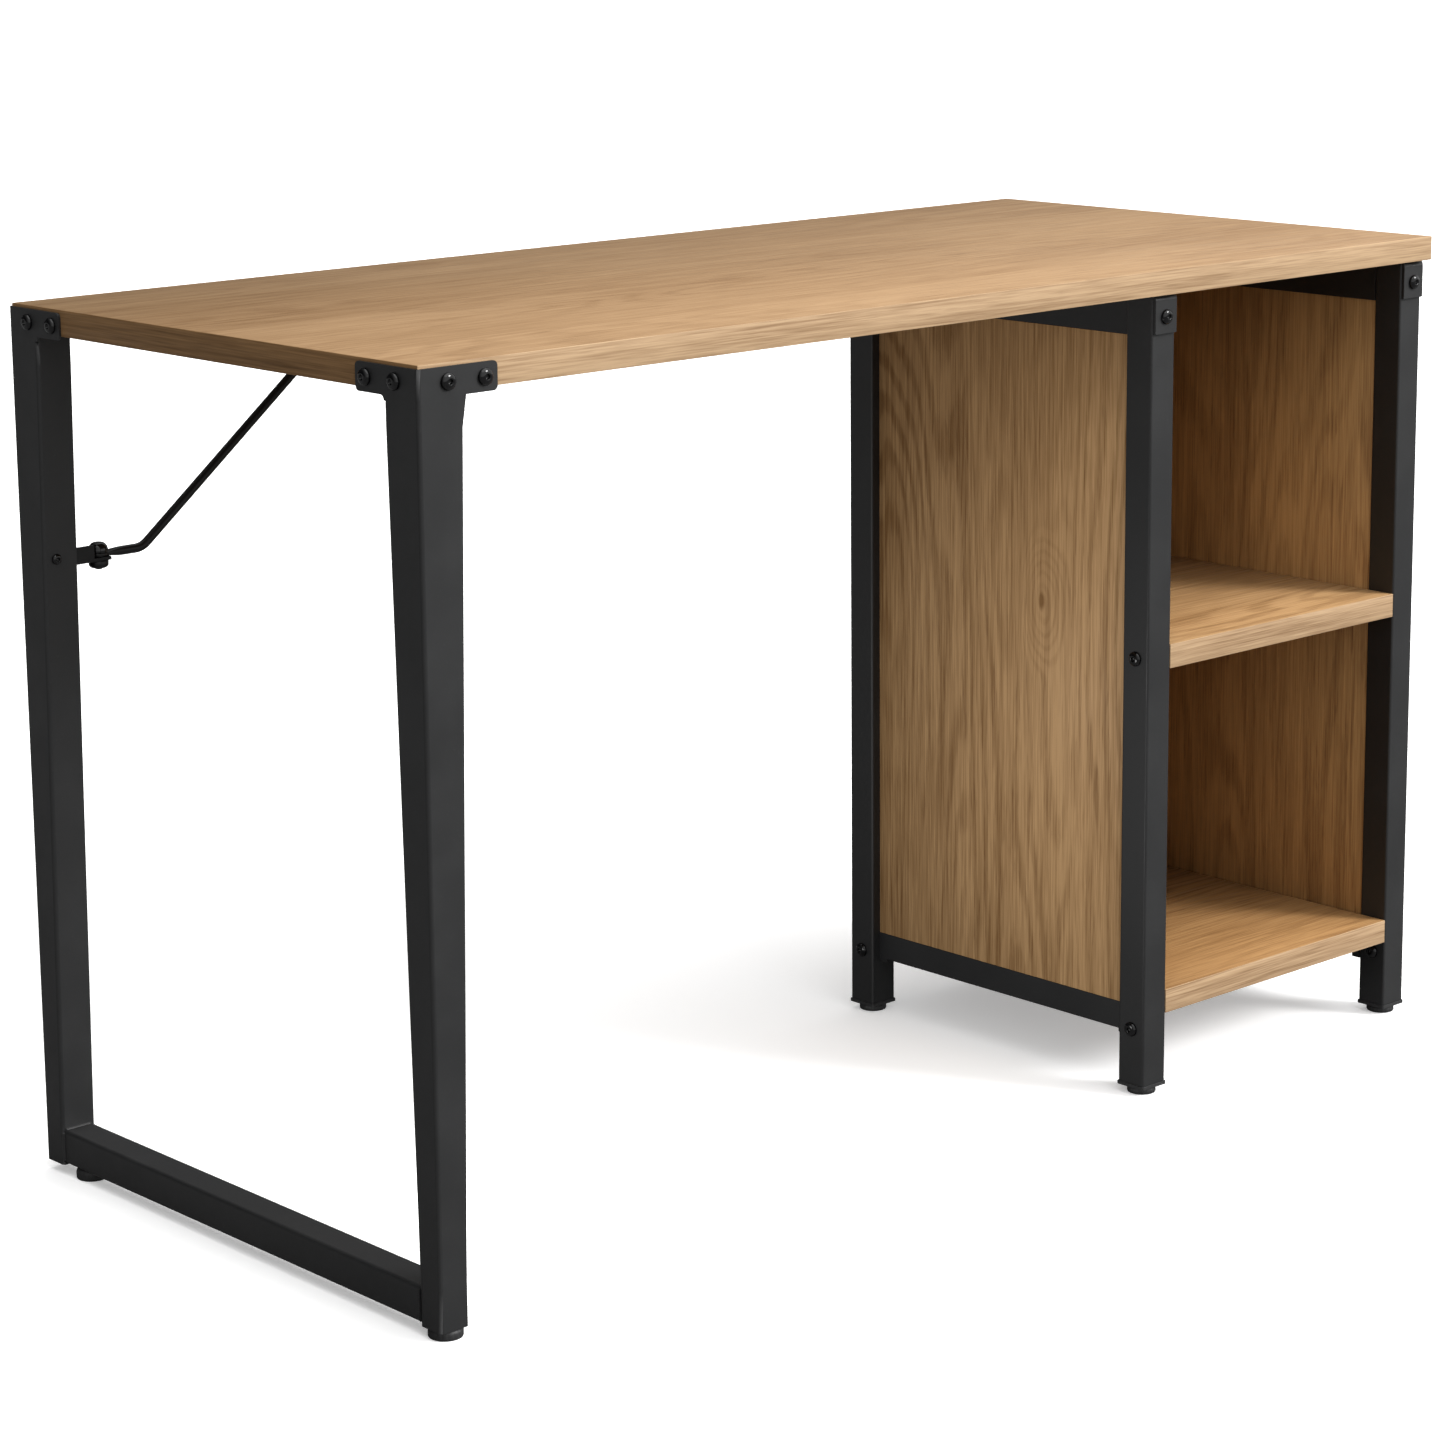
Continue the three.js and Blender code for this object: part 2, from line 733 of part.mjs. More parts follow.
// ---- Cabinet frames --------------------------------------------------------------------------
// Everything here is made for the left frame's front post; the others are mirror images.
const middleX = (cabinetLeft + cabinetRight) / 2;
const middleY = (cabinetFront + cabinetBack) / 2;
const postMiddleX = cabinetLeft + postSize / 2;
const postMiddleY = cabinetFront + postSize / 2;
const middleShelfBolt = middleShelfTop - shelfThickness / 2;
const clipBoltHeight = topUnderside - clipBoltDrop;

function postGeometry(hasShelfBolt) {
  const tube = squareTube(
    "z",
    cabinetLeft,
    cabinetLeft + postSize,
    cabinetFront,
    cabinetFront + postSize,
    postBottom,
    postTop,
    postWall,
    postCorner,
  );
  const through = [cabinetLeft - 1, cabinetLeft + postSize + 1];
  const shelfHole = rod("x", postMiddleY, middleShelfBolt, holeRadius, ...through);
  return cut(
    tube,
    ...(hasShelfBolt ? [shelfHole] : []),
    rod("y", postMiddleX, clipBoltHeight, holeRadius, cabinetFront - 1, cabinetFront + 2 * postWall),
    rod("x", postMiddleY, frameBoltHeight, holeRadius, ...through),
  );
}

function endCapGeometry() {
  const edge = endCapOverhang;
  const flange = roundedRectangle(
    cabinetLeft - edge,
    cabinetLeft + postSize + edge,
    cabinetFront - edge,
    cabinetFront + postSize + edge,
    postCorner,
  );
  const inset = postWall + endCapPlugClearance;
  const plug = block(
    cabinetLeft + inset,
    cabinetLeft + postSize - inset,
    cabinetFront + inset,
    cabinetFront + postSize - inset,
    postBottom - endCapFlange / 2,
    postBottom + endCapPlugDepth,
  );
  const flangeSolid = prism(flange, "z", postBottom - endCapFlange, postBottom, 2);
  const bore = rod(
    "z",
    postMiddleX,
    postMiddleY,
    stemHole,
    postBottom - endCapFlange - 1,
    postBottom + endCapPlugDepth + 1,
  );
  return cut(joined(flangeSolid, plug), bore);
}

// A folded clip: one leaf lies on the post's head, the other is bolted to the post's face.
function clipGeometry() {
  const face = cabinetFront - clipSheet;
  const quarter = Math.PI / 2;
  const outer = arcPoints(face + clipBend, topUnderside - clipBend, clipBend, 2 * quarter, quarter);
  const profile = polygon([
    [cabinetFront, postTop],
    [cabinetFront, topUnderside - clipDrop],
    [face, topUnderside - clipDrop],
    ...outer,
    [cabinetFront + postSize, topUnderside],
    [cabinetFront + postSize, postTop],
  ]);
  const leaves = prism(profile, "x", postMiddleX - clipWidth / 2, postMiddleX + clipWidth / 2);
  return cut(leaves, rod("y", postMiddleX, clipBoltHeight, holeRadius, face - 1, cabinetFront + 1));
}

const corners = {
  left_front: (geometry) => geometry.clone(),
  left_rear: (geometry) => mirroredInY(geometry, middleY),
  right_front: (geometry) => mirroredInX(geometry, middleX),
  right_rear: (geometry) => mirroredInX(mirroredInY(geometry, middleY), middleX),
};

const frontPost = postGeometry(true);
const rearPost = postGeometry(false);
const endCap = endCapGeometry();
const clip = clipGeometry();
const rightPostX = 2 * middleX - postMiddleX;
const rearPostY = 2 * middleY - postMiddleY;
const throughPost = postSize + boltInWood;

for (const [corner, copy] of Object.entries(corners)) {
  const isLeft = corner.startsWith("left");
  const isFront = corner.endsWith("front");
  const x = isLeft ? postMiddleX : rightPostX;
  const y = isFront ? postMiddleY : rearPostY;
  const clipFace = isFront ? cabinetFront - clipSheet : cabinetBack + clipSheet;
  add(`${corner}_post`, "steel", copy(isFront ? frontPost : rearPost));
  add(`${corner}_end_cap`, "plastic", copy(endCap));
  add(`${corner}_clip`, "steel", copy(clip));
  addFoot(`${corner}_foot`, cabinetFootDiameter, postBottom - endCapFlange, [x, y]);
  addBolt(`${corner}_clip_bolt`, isFront ? "-y" : "+y", [x, clipFace, clipBoltHeight], clipBoltLength);
  if (isFront) {
    addBolt(
      `${corner}_shelf_bolt`,
      isLeft ? "-x" : "+x",
      [isLeft ? cabinetLeft : cabinetRight, y, middleShelfBolt],
      throughPost,
    );
  }
  addBolt(
    `${corner}_frame_bolt`,
    "-x",
    [isLeft ? cabinetLeft : cabinetRight - postSize, y, frameBoltHeight],
    frameBoltLength,
  );
}

// Rails between the posts, set back from their outer faces. The lower one has a lug at each end
// and a ledge along its inner face, on which the bottom shelf rests.
const railOuter = cabinetLeft + frameRecess;
const railInner = cabinetLeft + postSize;
const railFront = cabinetFront + postSize;
const railBack = cabinetBack - postSize;

function railGeometry(underside, height) {
  return squareTube(
    "y",
    railOuter,
    railInner,
    underside,
    underside + height,
    railFront,
    railBack,
    railWall,
    postCorner / 2,
  );
}

function bottomRailGeometry() {
  const lug = (from) =>
    block(
      railOuter,
      railInner,
      from,
      from + railLugLength,
      bottomRailUnderside - railLugDrop,
      bottomRailUnderside + railWall / 2,
    );
  const ledgeTop = bottomShelfTop - shelfThickness;
  const ledge = block(
    railInner - railWall / 2,
    railInner + ledgeReach,
    railFront + ledgeFromPost,
    railBack - ledgeFromPost,
    ledgeTop - ledgeSheet,
    ledgeTop,
  );
  return joined(
    railGeometry(bottomRailUnderside, bottomRailHeight),
    lug(railFront),
    lug(railBack - railLugLength),
    ledge,
  );
}

const sides = {
  left: (geometry) => geometry.clone(),
  right: (geometry) => mirroredInX(geometry, middleX),
};
const topRail = railGeometry(topRailUnderside, topRailHeight);
const bottomRail = bottomRailGeometry();
const sidePanel = block(
  railOuter,
  railOuter + panelThickness,
  railFront,
  railBack,
  bottomRailTop,
  topRailUnderside,
);
for (const [side, copy] of Object.entries(sides)) {
  add(`${side}_top_rail`, "steel", copy(topRail));
  add(`${side}_bottom_rail`, "steel", copy(bottomRail));
  add(`${side}_side_panel`, "oak", copy(sidePanel));
}

// ---- Shelves and back ------------------------------------------------------------------------
// The middle shelf is bolted to the front posts and screwed through the back panel.
const backOuter = backPlane + backThickness;
const backScrewPlaces = [bayLeft + backScrewInset, bayRight - backScrewInset];
const backScrewHole = (x, from, to) =>
  rod("y", x, middleShelfBolt, braceScrewDiameter / 2 + boltClearance, from, to);
const backScrewTip = backPlane - backScrewInWood;
const shelfHoles = [
  rod("x", postMiddleY, middleShelfBolt, holeRadius, bayLeft - 1, bayLeft + boltReach),
  rod("x", postMiddleY, middleShelfBolt, holeRadius, bayRight - boltReach, bayRight + 1),
  ...backScrewPlaces.map((x) => backScrewHole(x, backScrewTip - boltClearance, backPlane + 1)),
];
const shelfBlock = (top) => block(bayLeft, bayRight, cabinetFront, backPlane, top - shelfThickness, top);
add("middle_shelf", "oak", cut(shelfBlock(middleShelfTop), ...shelfHoles));
add("bottom_shelf", "oak", shelfBlock(bottomShelfTop));
const backBoard = block(
  bayLeft,
  bayRight,
  backPlane,
  backOuter,
  bottomShelfTop - shelfThickness,
  postTop,
);
const backHoles = backScrewPlaces.map((x) => backScrewHole(x, backPlane - 1, backOuter + 1));
add("back_panel", "board", cut(backBoard, ...backHoles));
backScrewPlaces.forEach((x, i) => {
  const screw = boltGeometry(
    backThickness + backScrewInWood,
    braceScrewDiameter,
    braceScrewHead,
    braceScrewHeadHeight,
  );
  add(`shelf_back_screw_${i + 1}`, "bolt", aimed(screw, "+y", [x, backOuter, middleShelfBolt]));
});

// The part's origin is on the floor, in the middle of everything above it.
const bounds = new THREE.Box3().setFromObject(desk);
const middle = bounds.getCenter(new THREE.Vector3());
desk.position.set(-middle.x, -middle.y, -bounds.min.z);

export default desk;
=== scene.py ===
# %% [markdown]
# # A computer desk in oak laminate and black steel
#
# The desk is a laminate-covered top on two supports: a folded sheet-steel leg frame at the left,
# and a shelf cabinet held between two square-tube frames at the right. Its sizes and places are
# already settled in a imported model, which is loaded first and never moved. This lesson adds what
# that model leaves plain: edge bands and rounded arrises, machined bolt heads, threads, weld
# beads, and a finish for every surface. Everything is in metres, with X along the desk, Y from
# the sitter's edge to the back, and Z up from the floor.

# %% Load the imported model
import json
import math

import bmesh
import bpy
from mathutils import Matrix, Vector, noise

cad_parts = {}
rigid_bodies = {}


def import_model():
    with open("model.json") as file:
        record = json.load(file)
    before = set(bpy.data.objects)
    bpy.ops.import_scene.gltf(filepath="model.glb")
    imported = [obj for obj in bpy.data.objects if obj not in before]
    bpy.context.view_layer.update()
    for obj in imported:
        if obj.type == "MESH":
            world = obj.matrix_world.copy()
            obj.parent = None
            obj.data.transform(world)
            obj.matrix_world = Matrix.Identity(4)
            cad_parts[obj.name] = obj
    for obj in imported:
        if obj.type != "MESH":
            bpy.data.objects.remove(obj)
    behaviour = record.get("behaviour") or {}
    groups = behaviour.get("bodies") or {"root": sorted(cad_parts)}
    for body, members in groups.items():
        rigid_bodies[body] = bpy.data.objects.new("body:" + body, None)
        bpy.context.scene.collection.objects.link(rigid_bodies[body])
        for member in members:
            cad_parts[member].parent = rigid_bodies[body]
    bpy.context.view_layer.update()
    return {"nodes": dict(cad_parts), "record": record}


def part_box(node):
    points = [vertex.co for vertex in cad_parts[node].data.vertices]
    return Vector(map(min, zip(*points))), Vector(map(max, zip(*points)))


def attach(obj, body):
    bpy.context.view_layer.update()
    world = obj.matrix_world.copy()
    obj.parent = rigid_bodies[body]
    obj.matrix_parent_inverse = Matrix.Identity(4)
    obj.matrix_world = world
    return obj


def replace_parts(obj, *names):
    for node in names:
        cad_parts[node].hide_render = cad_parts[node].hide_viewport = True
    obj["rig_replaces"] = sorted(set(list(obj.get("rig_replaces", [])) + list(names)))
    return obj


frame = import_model()
nodes = frame["nodes"]
body_of = {node: body for body, members in frame["record"]["behaviour"]["bodies"].items() for node in members}
scene = bpy.context.scene
MM = 0.001

# %% [markdown]
# ## The camera
#
# A desk is best seen from slightly above its own top and from the open end, so that the top, the
# knee space and the open bays all show. A long lens keeps its edges close to parallel. The lens is
# shifted down a little, because a view camera would be levelled and shifted to keep upright posts
# upright. The shift stays small so that the same camera can be carried round to other sides.

# %% Camera
camera_place = Vector((-2.2928, -2.4542, 1.1401))
camera_heading = math.radians(42.41)  # from +Y towards +X
camera_pitch = math.radians(-11.18)
camera_roll = math.radians(-0.55)

camera_data = bpy.data.cameras.new("desk_camera")
camera_data.sensor_width = 36
camera_data.lens = 95.2
camera_data.shift_y = -0.1
camera = bpy.data.objects.new("desk_camera", camera_data)
scene.collection.objects.link(camera)
looking = Vector((
    math.sin(camera_heading) * math.cos(camera_pitch),
    math.cos(camera_heading) * math.cos(camera_pitch),
    math.sin(camera_pitch),
))
turn = looking.to_track_quat("-Z", "Y").to_matrix().to_4x4() @ Matrix.Rotation(camera_roll, 4, "Z")
camera.matrix_world = Matrix.Translation(camera_place) @ turn
scene.camera = camera
print("camera", [round(c, 3) for c in camera_place], "lens", round(camera_data.lens, 1))

# %% [markdown]
# ## Small helpers for node trees
#
# A material's detail is arithmetic on a position. These helpers add one node each and return its
# output, so that a formula reads from left to right in the code below. Every pattern starts from
# the Object coordinate, which on this model is the place on the desk in metres, so all patterns
# are at their real scale and stay put when a foot is screwed out.

# %% Node helpers


def feed(tree, socket, value):
    if isinstance(value, bpy.types.NodeSocket):
        tree.links.new(value, socket)
    else:
        socket.default_value = value


def calculate(tree, operation, *values):
    node = tree.nodes.new("ShaderNodeMath")
    node.operation = operation
    for socket, value in zip(node.inputs, values):
        feed(tree, socket, value)
    return node.outputs[0]


def calculate_vector(tree, operation, *values):
    node = tree.nodes.new("ShaderNodeVectorMath")
    node.operation = operation
    for socket, value in zip(node.inputs, values):
        feed(tree, socket, value)
    return node.outputs["Value" if operation in ("LENGTH", "DISTANCE", "DOT_PRODUCT") else "Vector"]


def speckle(tree, place, stretch, detail=2.0, roughness=0.5, distortion=0.0):
    """Noise whose cells are 1/stretch metres long on each axis. It gives values round 0.5."""
    node = tree.nodes.new("ShaderNodeTexNoise")
    feed(tree, node.inputs["Vector"], calculate_vector(tree, "MULTIPLY", place, stretch))
    node.inputs["Scale"].default_value = 1
    node.inputs["Detail"].default_value = detail
    node.inputs["Roughness"].default_value = roughness
    node.inputs["Distortion"].default_value = distortion
    return node.outputs["Fac"]


def ramp_between(tree, value, start, end, low=0.0, high=1.0):
    node = tree.nodes.new("ShaderNodeMapRange")
    node.interpolation_type = "SMOOTHSTEP"
    settings = (("Value", value), ("From Min", start), ("From Max", end), ("To Min", low), ("To Max", high))
    for name, given in settings:
        feed(tree, node.inputs[name], given)
    return node.outputs["Result"]


def clamped(tree, value):
    """The value, held between 0 and 1."""
    node = tree.nodes.new("ShaderNodeClamp")
    feed(tree, node.inputs["Value"], value)
    return node.outputs[0]


def mixed_colour(tree, share, first, second, blend="MIX"):
    node = tree.nodes.new("ShaderNodeMix")
    node.data_type = "RGBA"
    node.blend_type = blend
    for socket, value in ((node.inputs[0], share), (node.inputs[6], first), (node.inputs[7], second)):
        feed(tree, socket, value)
    return node.outputs[2]


def new_group(name, inputs, outputs):
    """An empty shader group. inputs are (name, kind, default) and outputs are (name, kind)."""
    group = bpy.data.node_groups.new(name, "ShaderNodeTree")
    for socket_name, kind, default in inputs:
        socket = group.interface.new_socket(socket_name, in_out="INPUT", socket_type=f"NodeSocket{kind}")
        socket.default_value = default
    for socket_name, kind in outputs:
        group.interface.new_socket(socket_name, in_out="OUTPUT", socket_type=f"NodeSocket{kind}")
    return group, group.nodes.new("NodeGroupInput").outputs, group.nodes.new("NodeGroupOutput").inputs


def placed_group(tree, group, **values):
    """The group as a node of a material. Keywords are its inputs, with spaces written as _."""
    node = tree.nodes.new("ShaderNodeGroup")
    node.node_tree = group
    for name, value in values.items():
        feed(tree, node.inputs[name.replace("_", " ")], value)
    return node.outputs


# %% [markdown]
# ## Floor and light
#
# Black powder coat shows its shape only through what it reflects, and laminate shows its print
# best in broad light. Two far lights give every part of the desk the same light: a soft key from
# the sitter's right, and a very wide one overhead for the top. The rest is a pale studio whose
# walls are brighter at the front right than behind the leg frame, so the faces turned to the left
# stay darker than the front ones. A small panel under the top lights the cabinet's left side,
# which the top would leave in shade. The floor throws back less than it shows, so that the steel
# stays dark from below, and its own shadows are thinned by a little glow.

# %% Stage and lights
floor_reach = 45
scene.view_settings.view_transform = "Standard"


def floor_material(seen, bounced, glow):
    """A matt floor, paler to the eye than in the light it throws back. The glow thins its shadows."""
    material = bpy.data.materials.new("studio_floor")
    material.use_nodes = True
    tree = material.node_tree
    surface = tree.nodes["Principled BSDF"]
    surface.inputs["Roughness"].default_value = 1.0
    surface.inputs["Specular IOR Level"].default_value = 0.0
    sight = tree.nodes.new("ShaderNodeLightPath")
    paint = tree.nodes.new("ShaderNodeMix")
    paint.data_type = "RGBA"
    paint.inputs[6].default_value = (bounced, bounced, bounced, 1)
    paint.inputs[7].default_value = (seen, seen, seen, 1)
    tree.links.new(sight.outputs["Is Camera Ray"], paint.inputs[0])
    tree.links.new(paint.outputs[2], surface.inputs["Base Color"])
    seen_glow = calculate(tree, "MULTIPLY", sight.outputs["Is Camera Ray"], glow)
    feed(tree, surface.inputs["Emission Strength"], seen_glow)
    surface.inputs["Emission Color"].default_value = (1, 1, 1, 1)
    return material


def add_floor():
    corners = [(x * floor_reach, y * floor_reach, 0) for x, y in ((-1, -1), (1, -1), (1, 1), (-1, 1))]
    mesh = bpy.data.meshes.new("studio_floor")
    mesh.from_pydata(corners, [], [(0, 1, 2, 3)])
    mesh.materials.append(floor_material(seen=0.95, bounced=0.20, glow=0.30))
    floor = bpy.data.objects.new("studio_floor", mesh)
    scene.collection.objects.link(floor)


def add_panel_light(name, place, aim, width, height, power):
    light = bpy.data.lights.new(name, "AREA")
    light.shape = "RECTANGLE"
    light.size, light.size_y = width, height
    light.energy = power
    lamp = bpy.data.objects.new(name, light)
    lamp.visible_camera = False
    towards_aim = (aim - place).to_track_quat("-Z", "Y").to_matrix().to_4x4()
    lamp.matrix_world = Matrix.Translation(place) @ towards_aim
    scene.collection.objects.link(lamp)


def add_studio_walls(towards, dim, bright):
    """A world that is bright in one direction and dim in the other, and white to the camera."""
    world = bpy.data.worlds.new("studio")
    world.use_nodes = True
    tree = world.node_tree
    background = tree.nodes["Background"]
    coordinates = tree.nodes.new("ShaderNodeTexCoord")
    facing = tree.nodes.new("ShaderNodeVectorMath")
    facing.operation = "DOT_PRODUCT"
    facing.inputs[1].default_value = Vector(towards).normalized()
    tree.links.new(coordinates.outputs["Generated"], facing.inputs[0])
    wall = tree.nodes.new("ShaderNodeMapRange")
    wall.interpolation_type = "SMOOTHSTEP"
    for name, value in (("From Min", -0.7), ("From Max", 0.9), ("To Min", dim), ("To Max", bright)):
        wall.inputs[name].default_value = value
    tree.links.new(facing.outputs["Value"], wall.inputs["Value"])
    sight = tree.nodes.new("ShaderNodeLightPath")
    seen = tree.nodes.new("ShaderNodeMix")
    seen.inputs["B"].default_value = 1.0
    tree.links.new(sight.outputs["Is Camera Ray"], seen.inputs["Factor"])
    tree.links.new(wall.outputs["Result"], seen.inputs["A"])
    tree.links.new(seen.outputs["Result"], background.inputs["Strength"])
    background.inputs["Color"].default_value = (1, 1, 1, 1)
    scene.world = world


def add_far_light(name, direction, power, spread):
    """Light from so far off that every part of the desk gets the same. spread is its width."""
    light = bpy.data.lights.new(name, "SUN")
    light.energy = power
    light.angle = spread
    lamp = bpy.data.objects.new(name, light)
    lamp.matrix_world = Vector(direction).to_track_quat("-Z", "Y").to_matrix().to_4x4()
    scene.collection.objects.link(lamp)


add_floor()
add_far_light("key", direction=(-0.47, 0.72, -0.52), power=2.75, spread=math.radians(18))
add_far_light("ceiling", direction=(-0.10, 0.25, -1), power=1.60, spread=math.radians(70))
add_panel_light(
    "knee_fill", place=Vector((-0.50, -0.08, 0.16)), aim=Vector((0.23, -0.08, 0.18)),
    width=0.35, height=0.2, power=1.6,
)
add_studio_walls(towards=(0.30, -0.87, 0.35), dim=0.04, bright=1.40)

# %% [markdown]
# ## The oak print
#
# The boards are chipboard covered with a printed, embossed oak decor. A tree's growth rings, cut
# lengthways, read as long nested loops, so the figure here is the contour lines of a slow noise
# that is stretched along the grain. Finer noises, stretched further, add the streaks, the fibres
# and the short dark pores. The decor is printed in strips, like planks glued side by side, and
# each strip shifts the figure and its tone. A knot is a bump added to the slow noise: the contour
# lines then run round it by themselves.

# %% Strips, rings, grain and pores
seam_wander = 0.012
ring_count = 130.0  # contour lines for each unit of the slow noise
ring_sharpness = 2.2
ruffle_share = 0.026
knot_squash = (0.45, 1, 1)  # a knot is longer along the grain
knot_reach = 0.036
knot_height = 0.26
grain_layers = (  # how often each repeats in a metre, its detail, and its share of the tone
    ((1.2, 30, 30), 2.0, 0.42),
    ((3.0, 120, 120), 2.0, 0.45),
    ((9.0, 400, 400), 1.5, 1.00),
    ((22.0, 900, 900), 1.0, 1.00),
    ((2.4, 6.0, 6.0), 2.0, 0.80),
)


def chance_of_strip(tree, given):
    """A random value and colour for each strip. The seams between strips wander a little."""
    parts = tree.nodes.new("ShaderNodeSeparateXYZ")
    feed(tree, parts.inputs[0], given["Place"])
    wander = calculate(tree, "MULTIPLY", speckle(tree, given["Place"], (0.9, 0.9, 0.9)), seam_wander)
    across = calculate(tree, "DIVIDE", calculate(tree, "ADD", parts.outputs[1], wander), given["Strip Width"])
    strip = calculate(tree, "FLOOR", calculate(tree, "ADD", across, given["Seed"]))
    chance = tree.nodes.new("ShaderNodeTexWhiteNoise")
    chance.noise_dimensions = "1D"
    feed(tree, chance.inputs["W"], calculate(tree, "ADD", strip, given["Seed"]))
    return chance.outputs


def growth_rings(tree, place, knot_distance):
    """Contour lines of a slow noise, bent round the knot by its bump."""
    slow = speckle(tree, place, (1.15, 8.0, 8.0), detail=1.5, roughness=0.42, distortion=0.25)
    knot_bump = ramp_between(tree, knot_distance, 0.0, knot_reach, knot_height, 0.0)
    ruffle = speckle(tree, place, (22, 160, 160), detail=2, roughness=0.6)
    field = calculate(tree, "ADD", slow, knot_bump)
    field = calculate(tree, "ADD", field, calculate(tree, "MULTIPLY", ruffle, ruffle_share))
    rings = calculate(tree, "SINE", calculate(tree, "MULTIPLY", field, ring_count))
    rings = calculate(tree, "POWER", ramp_between(tree, rings, -1.0, 1.0), ring_sharpness)
    strength = ramp_between(tree, speckle(tree, place, (1.4, 5, 5)), 0.38, 0.62, 0.2, 1.0)
    return calculate(tree, "MULTIPLY", rings, strength)


def with_straight_grain(tree, place, tone):
    """The tone with the streaks and fibres added to it, from broad to fine."""
    for stretch, detail, share in grain_layers:
        grain = calculate(tree, "SUBTRACT", speckle(tree, place, stretch, detail=detail), 0.5)
        tone = calculate(tree, "ADD", tone, calculate(tree, "MULTIPLY", grain, share))
    return tone


def open_pores(tree, place, rings):
    """Short dark dashes, most of them along the growth rings."""
    dashes = speckle(tree, place, (30, 800, 800), detail=1.5, roughness=0.6)
    on_rings = ramp_between(tree, rings, 0.05, 0.6, 0.45, 1.0)
    return calculate(tree, "MULTIPLY", ramp_between(tree, dashes, 0.57, 0.66), on_rings)


# %% [markdown]
# ### The print as one group
#
# The parts above meet in a node group, so that every board can use the same print with its own
# seed, contrast and pair of colours. All layers add up to one tone, from light wood to dark, and
# only the knot's heart is added after the contrast, so that it stays dark on a pale board. The
# pores darken the colour and are also pressed into the surface, as the embossing on laminate is.

# %% Oak print group
ring_share = 0.34
strip_tone_share = 0.16
middle_tone = 0.30
pore_share = 0.24
fibre_relief = 0.35


def make_oak_print():
    tree, given, out = new_group(
        "oak_print",
        [
            ("Place", "Vector", (0, 0, 0)),
            ("Light", "Color", (0.6, 0.4, 0.2, 1)),
            ("Dark", "Color", (0.3, 0.17, 0.08, 1)),
            ("Strip Width", "Float", 0.13),
            ("Seed", "Float", 0.0),
            ("Contrast", "Float", 1.0),
            ("Figure", "Float", 1.0),
            ("Knot", "Vector", (9, 9, 9)),
        ],
        [("Color", "Color"), ("Height", "Float"), ("Roughness", "Float")],
    )
    chance = chance_of_strip(tree, given)
    shift = calculate_vector(tree, "MULTIPLY", chance["Color"], (7.0, 3.0, 5.0))
    place = calculate_vector(tree, "ADD", given["Place"], shift)
    from_knot = calculate_vector(tree, "SUBTRACT", given["Place"], given["Knot"])
    squashed = calculate_vector(tree, "MULTIPLY", from_knot, knot_squash)
    knot_distance = calculate_vector(tree, "LENGTH", squashed)

    rings = calculate(tree, "MULTIPLY", growth_rings(tree, place, knot_distance), given["Figure"])
    fibres = speckle(tree, place, (10, 520, 520), detail=2, roughness=0.6)
    pores = open_pores(tree, place, rings)

    tone = with_straight_grain(tree, place, calculate(tree, "MULTIPLY", rings, ring_share))
    strip_tone = calculate(tree, "SUBTRACT", chance["Value"], 0.5)
    tone = calculate(tree, "ADD", tone, calculate(tree, "MULTIPLY", strip_tone, strip_tone_share))
    tone = calculate(tree, "ADD", calculate(tree, "MULTIPLY", tone, given["Contrast"]), middle_tone)
    tone = calculate(tree, "ADD", tone, ramp_between(tree, knot_distance, 0.001, 0.0055, 0.9, 0.0))
    colour = mixed_colour(tree, clamped(tree, tone), given["Light"], given["Dark"])
    darkening = calculate(tree, "MULTIPLY", pores, pore_share)
    feed(tree, out["Color"], mixed_colour(tree, darkening, colour, given["Dark"], "MULTIPLY"))
    raised = calculate(tree, "MULTIPLY", fibres, fibre_relief)
    feed(tree, out["Height"], calculate(tree, "SUBTRACT", raised, pores))
    feed(tree, out["Roughness"], ramp_between(tree, fibres, 0.3, 0.7, 0.44, 0.60))
    return tree


oak_print = make_oak_print()
print("oak print nodes", len(oak_print.nodes))

# %% [markdown]
# ## Laminate and edge bands
#
# One print serves every board, turned so that its grain runs the way each board was cut: along
# the top and the shelves, upright on the side panels and the back, and along each edge band. The
# boards differ in seed, so that no two show the same figure, and some are painted paler or darker
# as painted light and shade for where they stand. A band is a narrow strip of print with hardly any figure.

# %% Oak materials
oak_light = (0.43, 0.258, 0.118, 1)
oak_dark = (0.195, 0.097, 0.034, 1)
print_relief = 0.12 * MM
relief_strength = 0.55
no_knot = (9, 9, 9)  # so far away that it never shows


def oak_material(
    name, grain, seed, strip_width=0.13, contrast=1.0, figure=1.0, knot=no_knot,
    light=oak_light, dark=oak_dark,
):
    """grain names the axes along the grain, across it and through the board, such as "XYZ"."""
    material = bpy.data.materials.new(name)
    material.use_nodes = True
    tree = material.node_tree
    surface = tree.nodes["Principled BSDF"]
    coordinates = tree.nodes.new("ShaderNodeTexCoord")
    split = tree.nodes.new("ShaderNodeSeparateXYZ")
    feed(tree, split.inputs[0], coordinates.outputs["Object"])
    turned = tree.nodes.new("ShaderNodeCombineXYZ")
    for socket, axis in zip(turned.inputs, grain):
        feed(tree, socket, split.outputs[axis])
    printed = placed_group(
        tree, oak_print, Place=turned.outputs[0], Light=light, Dark=dark,
        Strip_Width=strip_width, Seed=seed, Contrast=contrast, Figure=figure, Knot=knot,
    )
    feed(tree, surface.inputs["Base Color"], printed["Color"])
    feed(tree, surface.inputs["Roughness"], printed["Roughness"])
    surface.inputs["Specular IOR Level"].default_value = 0.16
    bump = tree.nodes.new("ShaderNodeBump")
    bump.inputs["Strength"].default_value = relief_strength
    bump.inputs["Distance"].default_value = print_relief
    feed(tree, bump.inputs["Height"], printed["Height"])
    feed(tree, surface.inputs["Normal"], bump.outputs["Normal"])
    return material
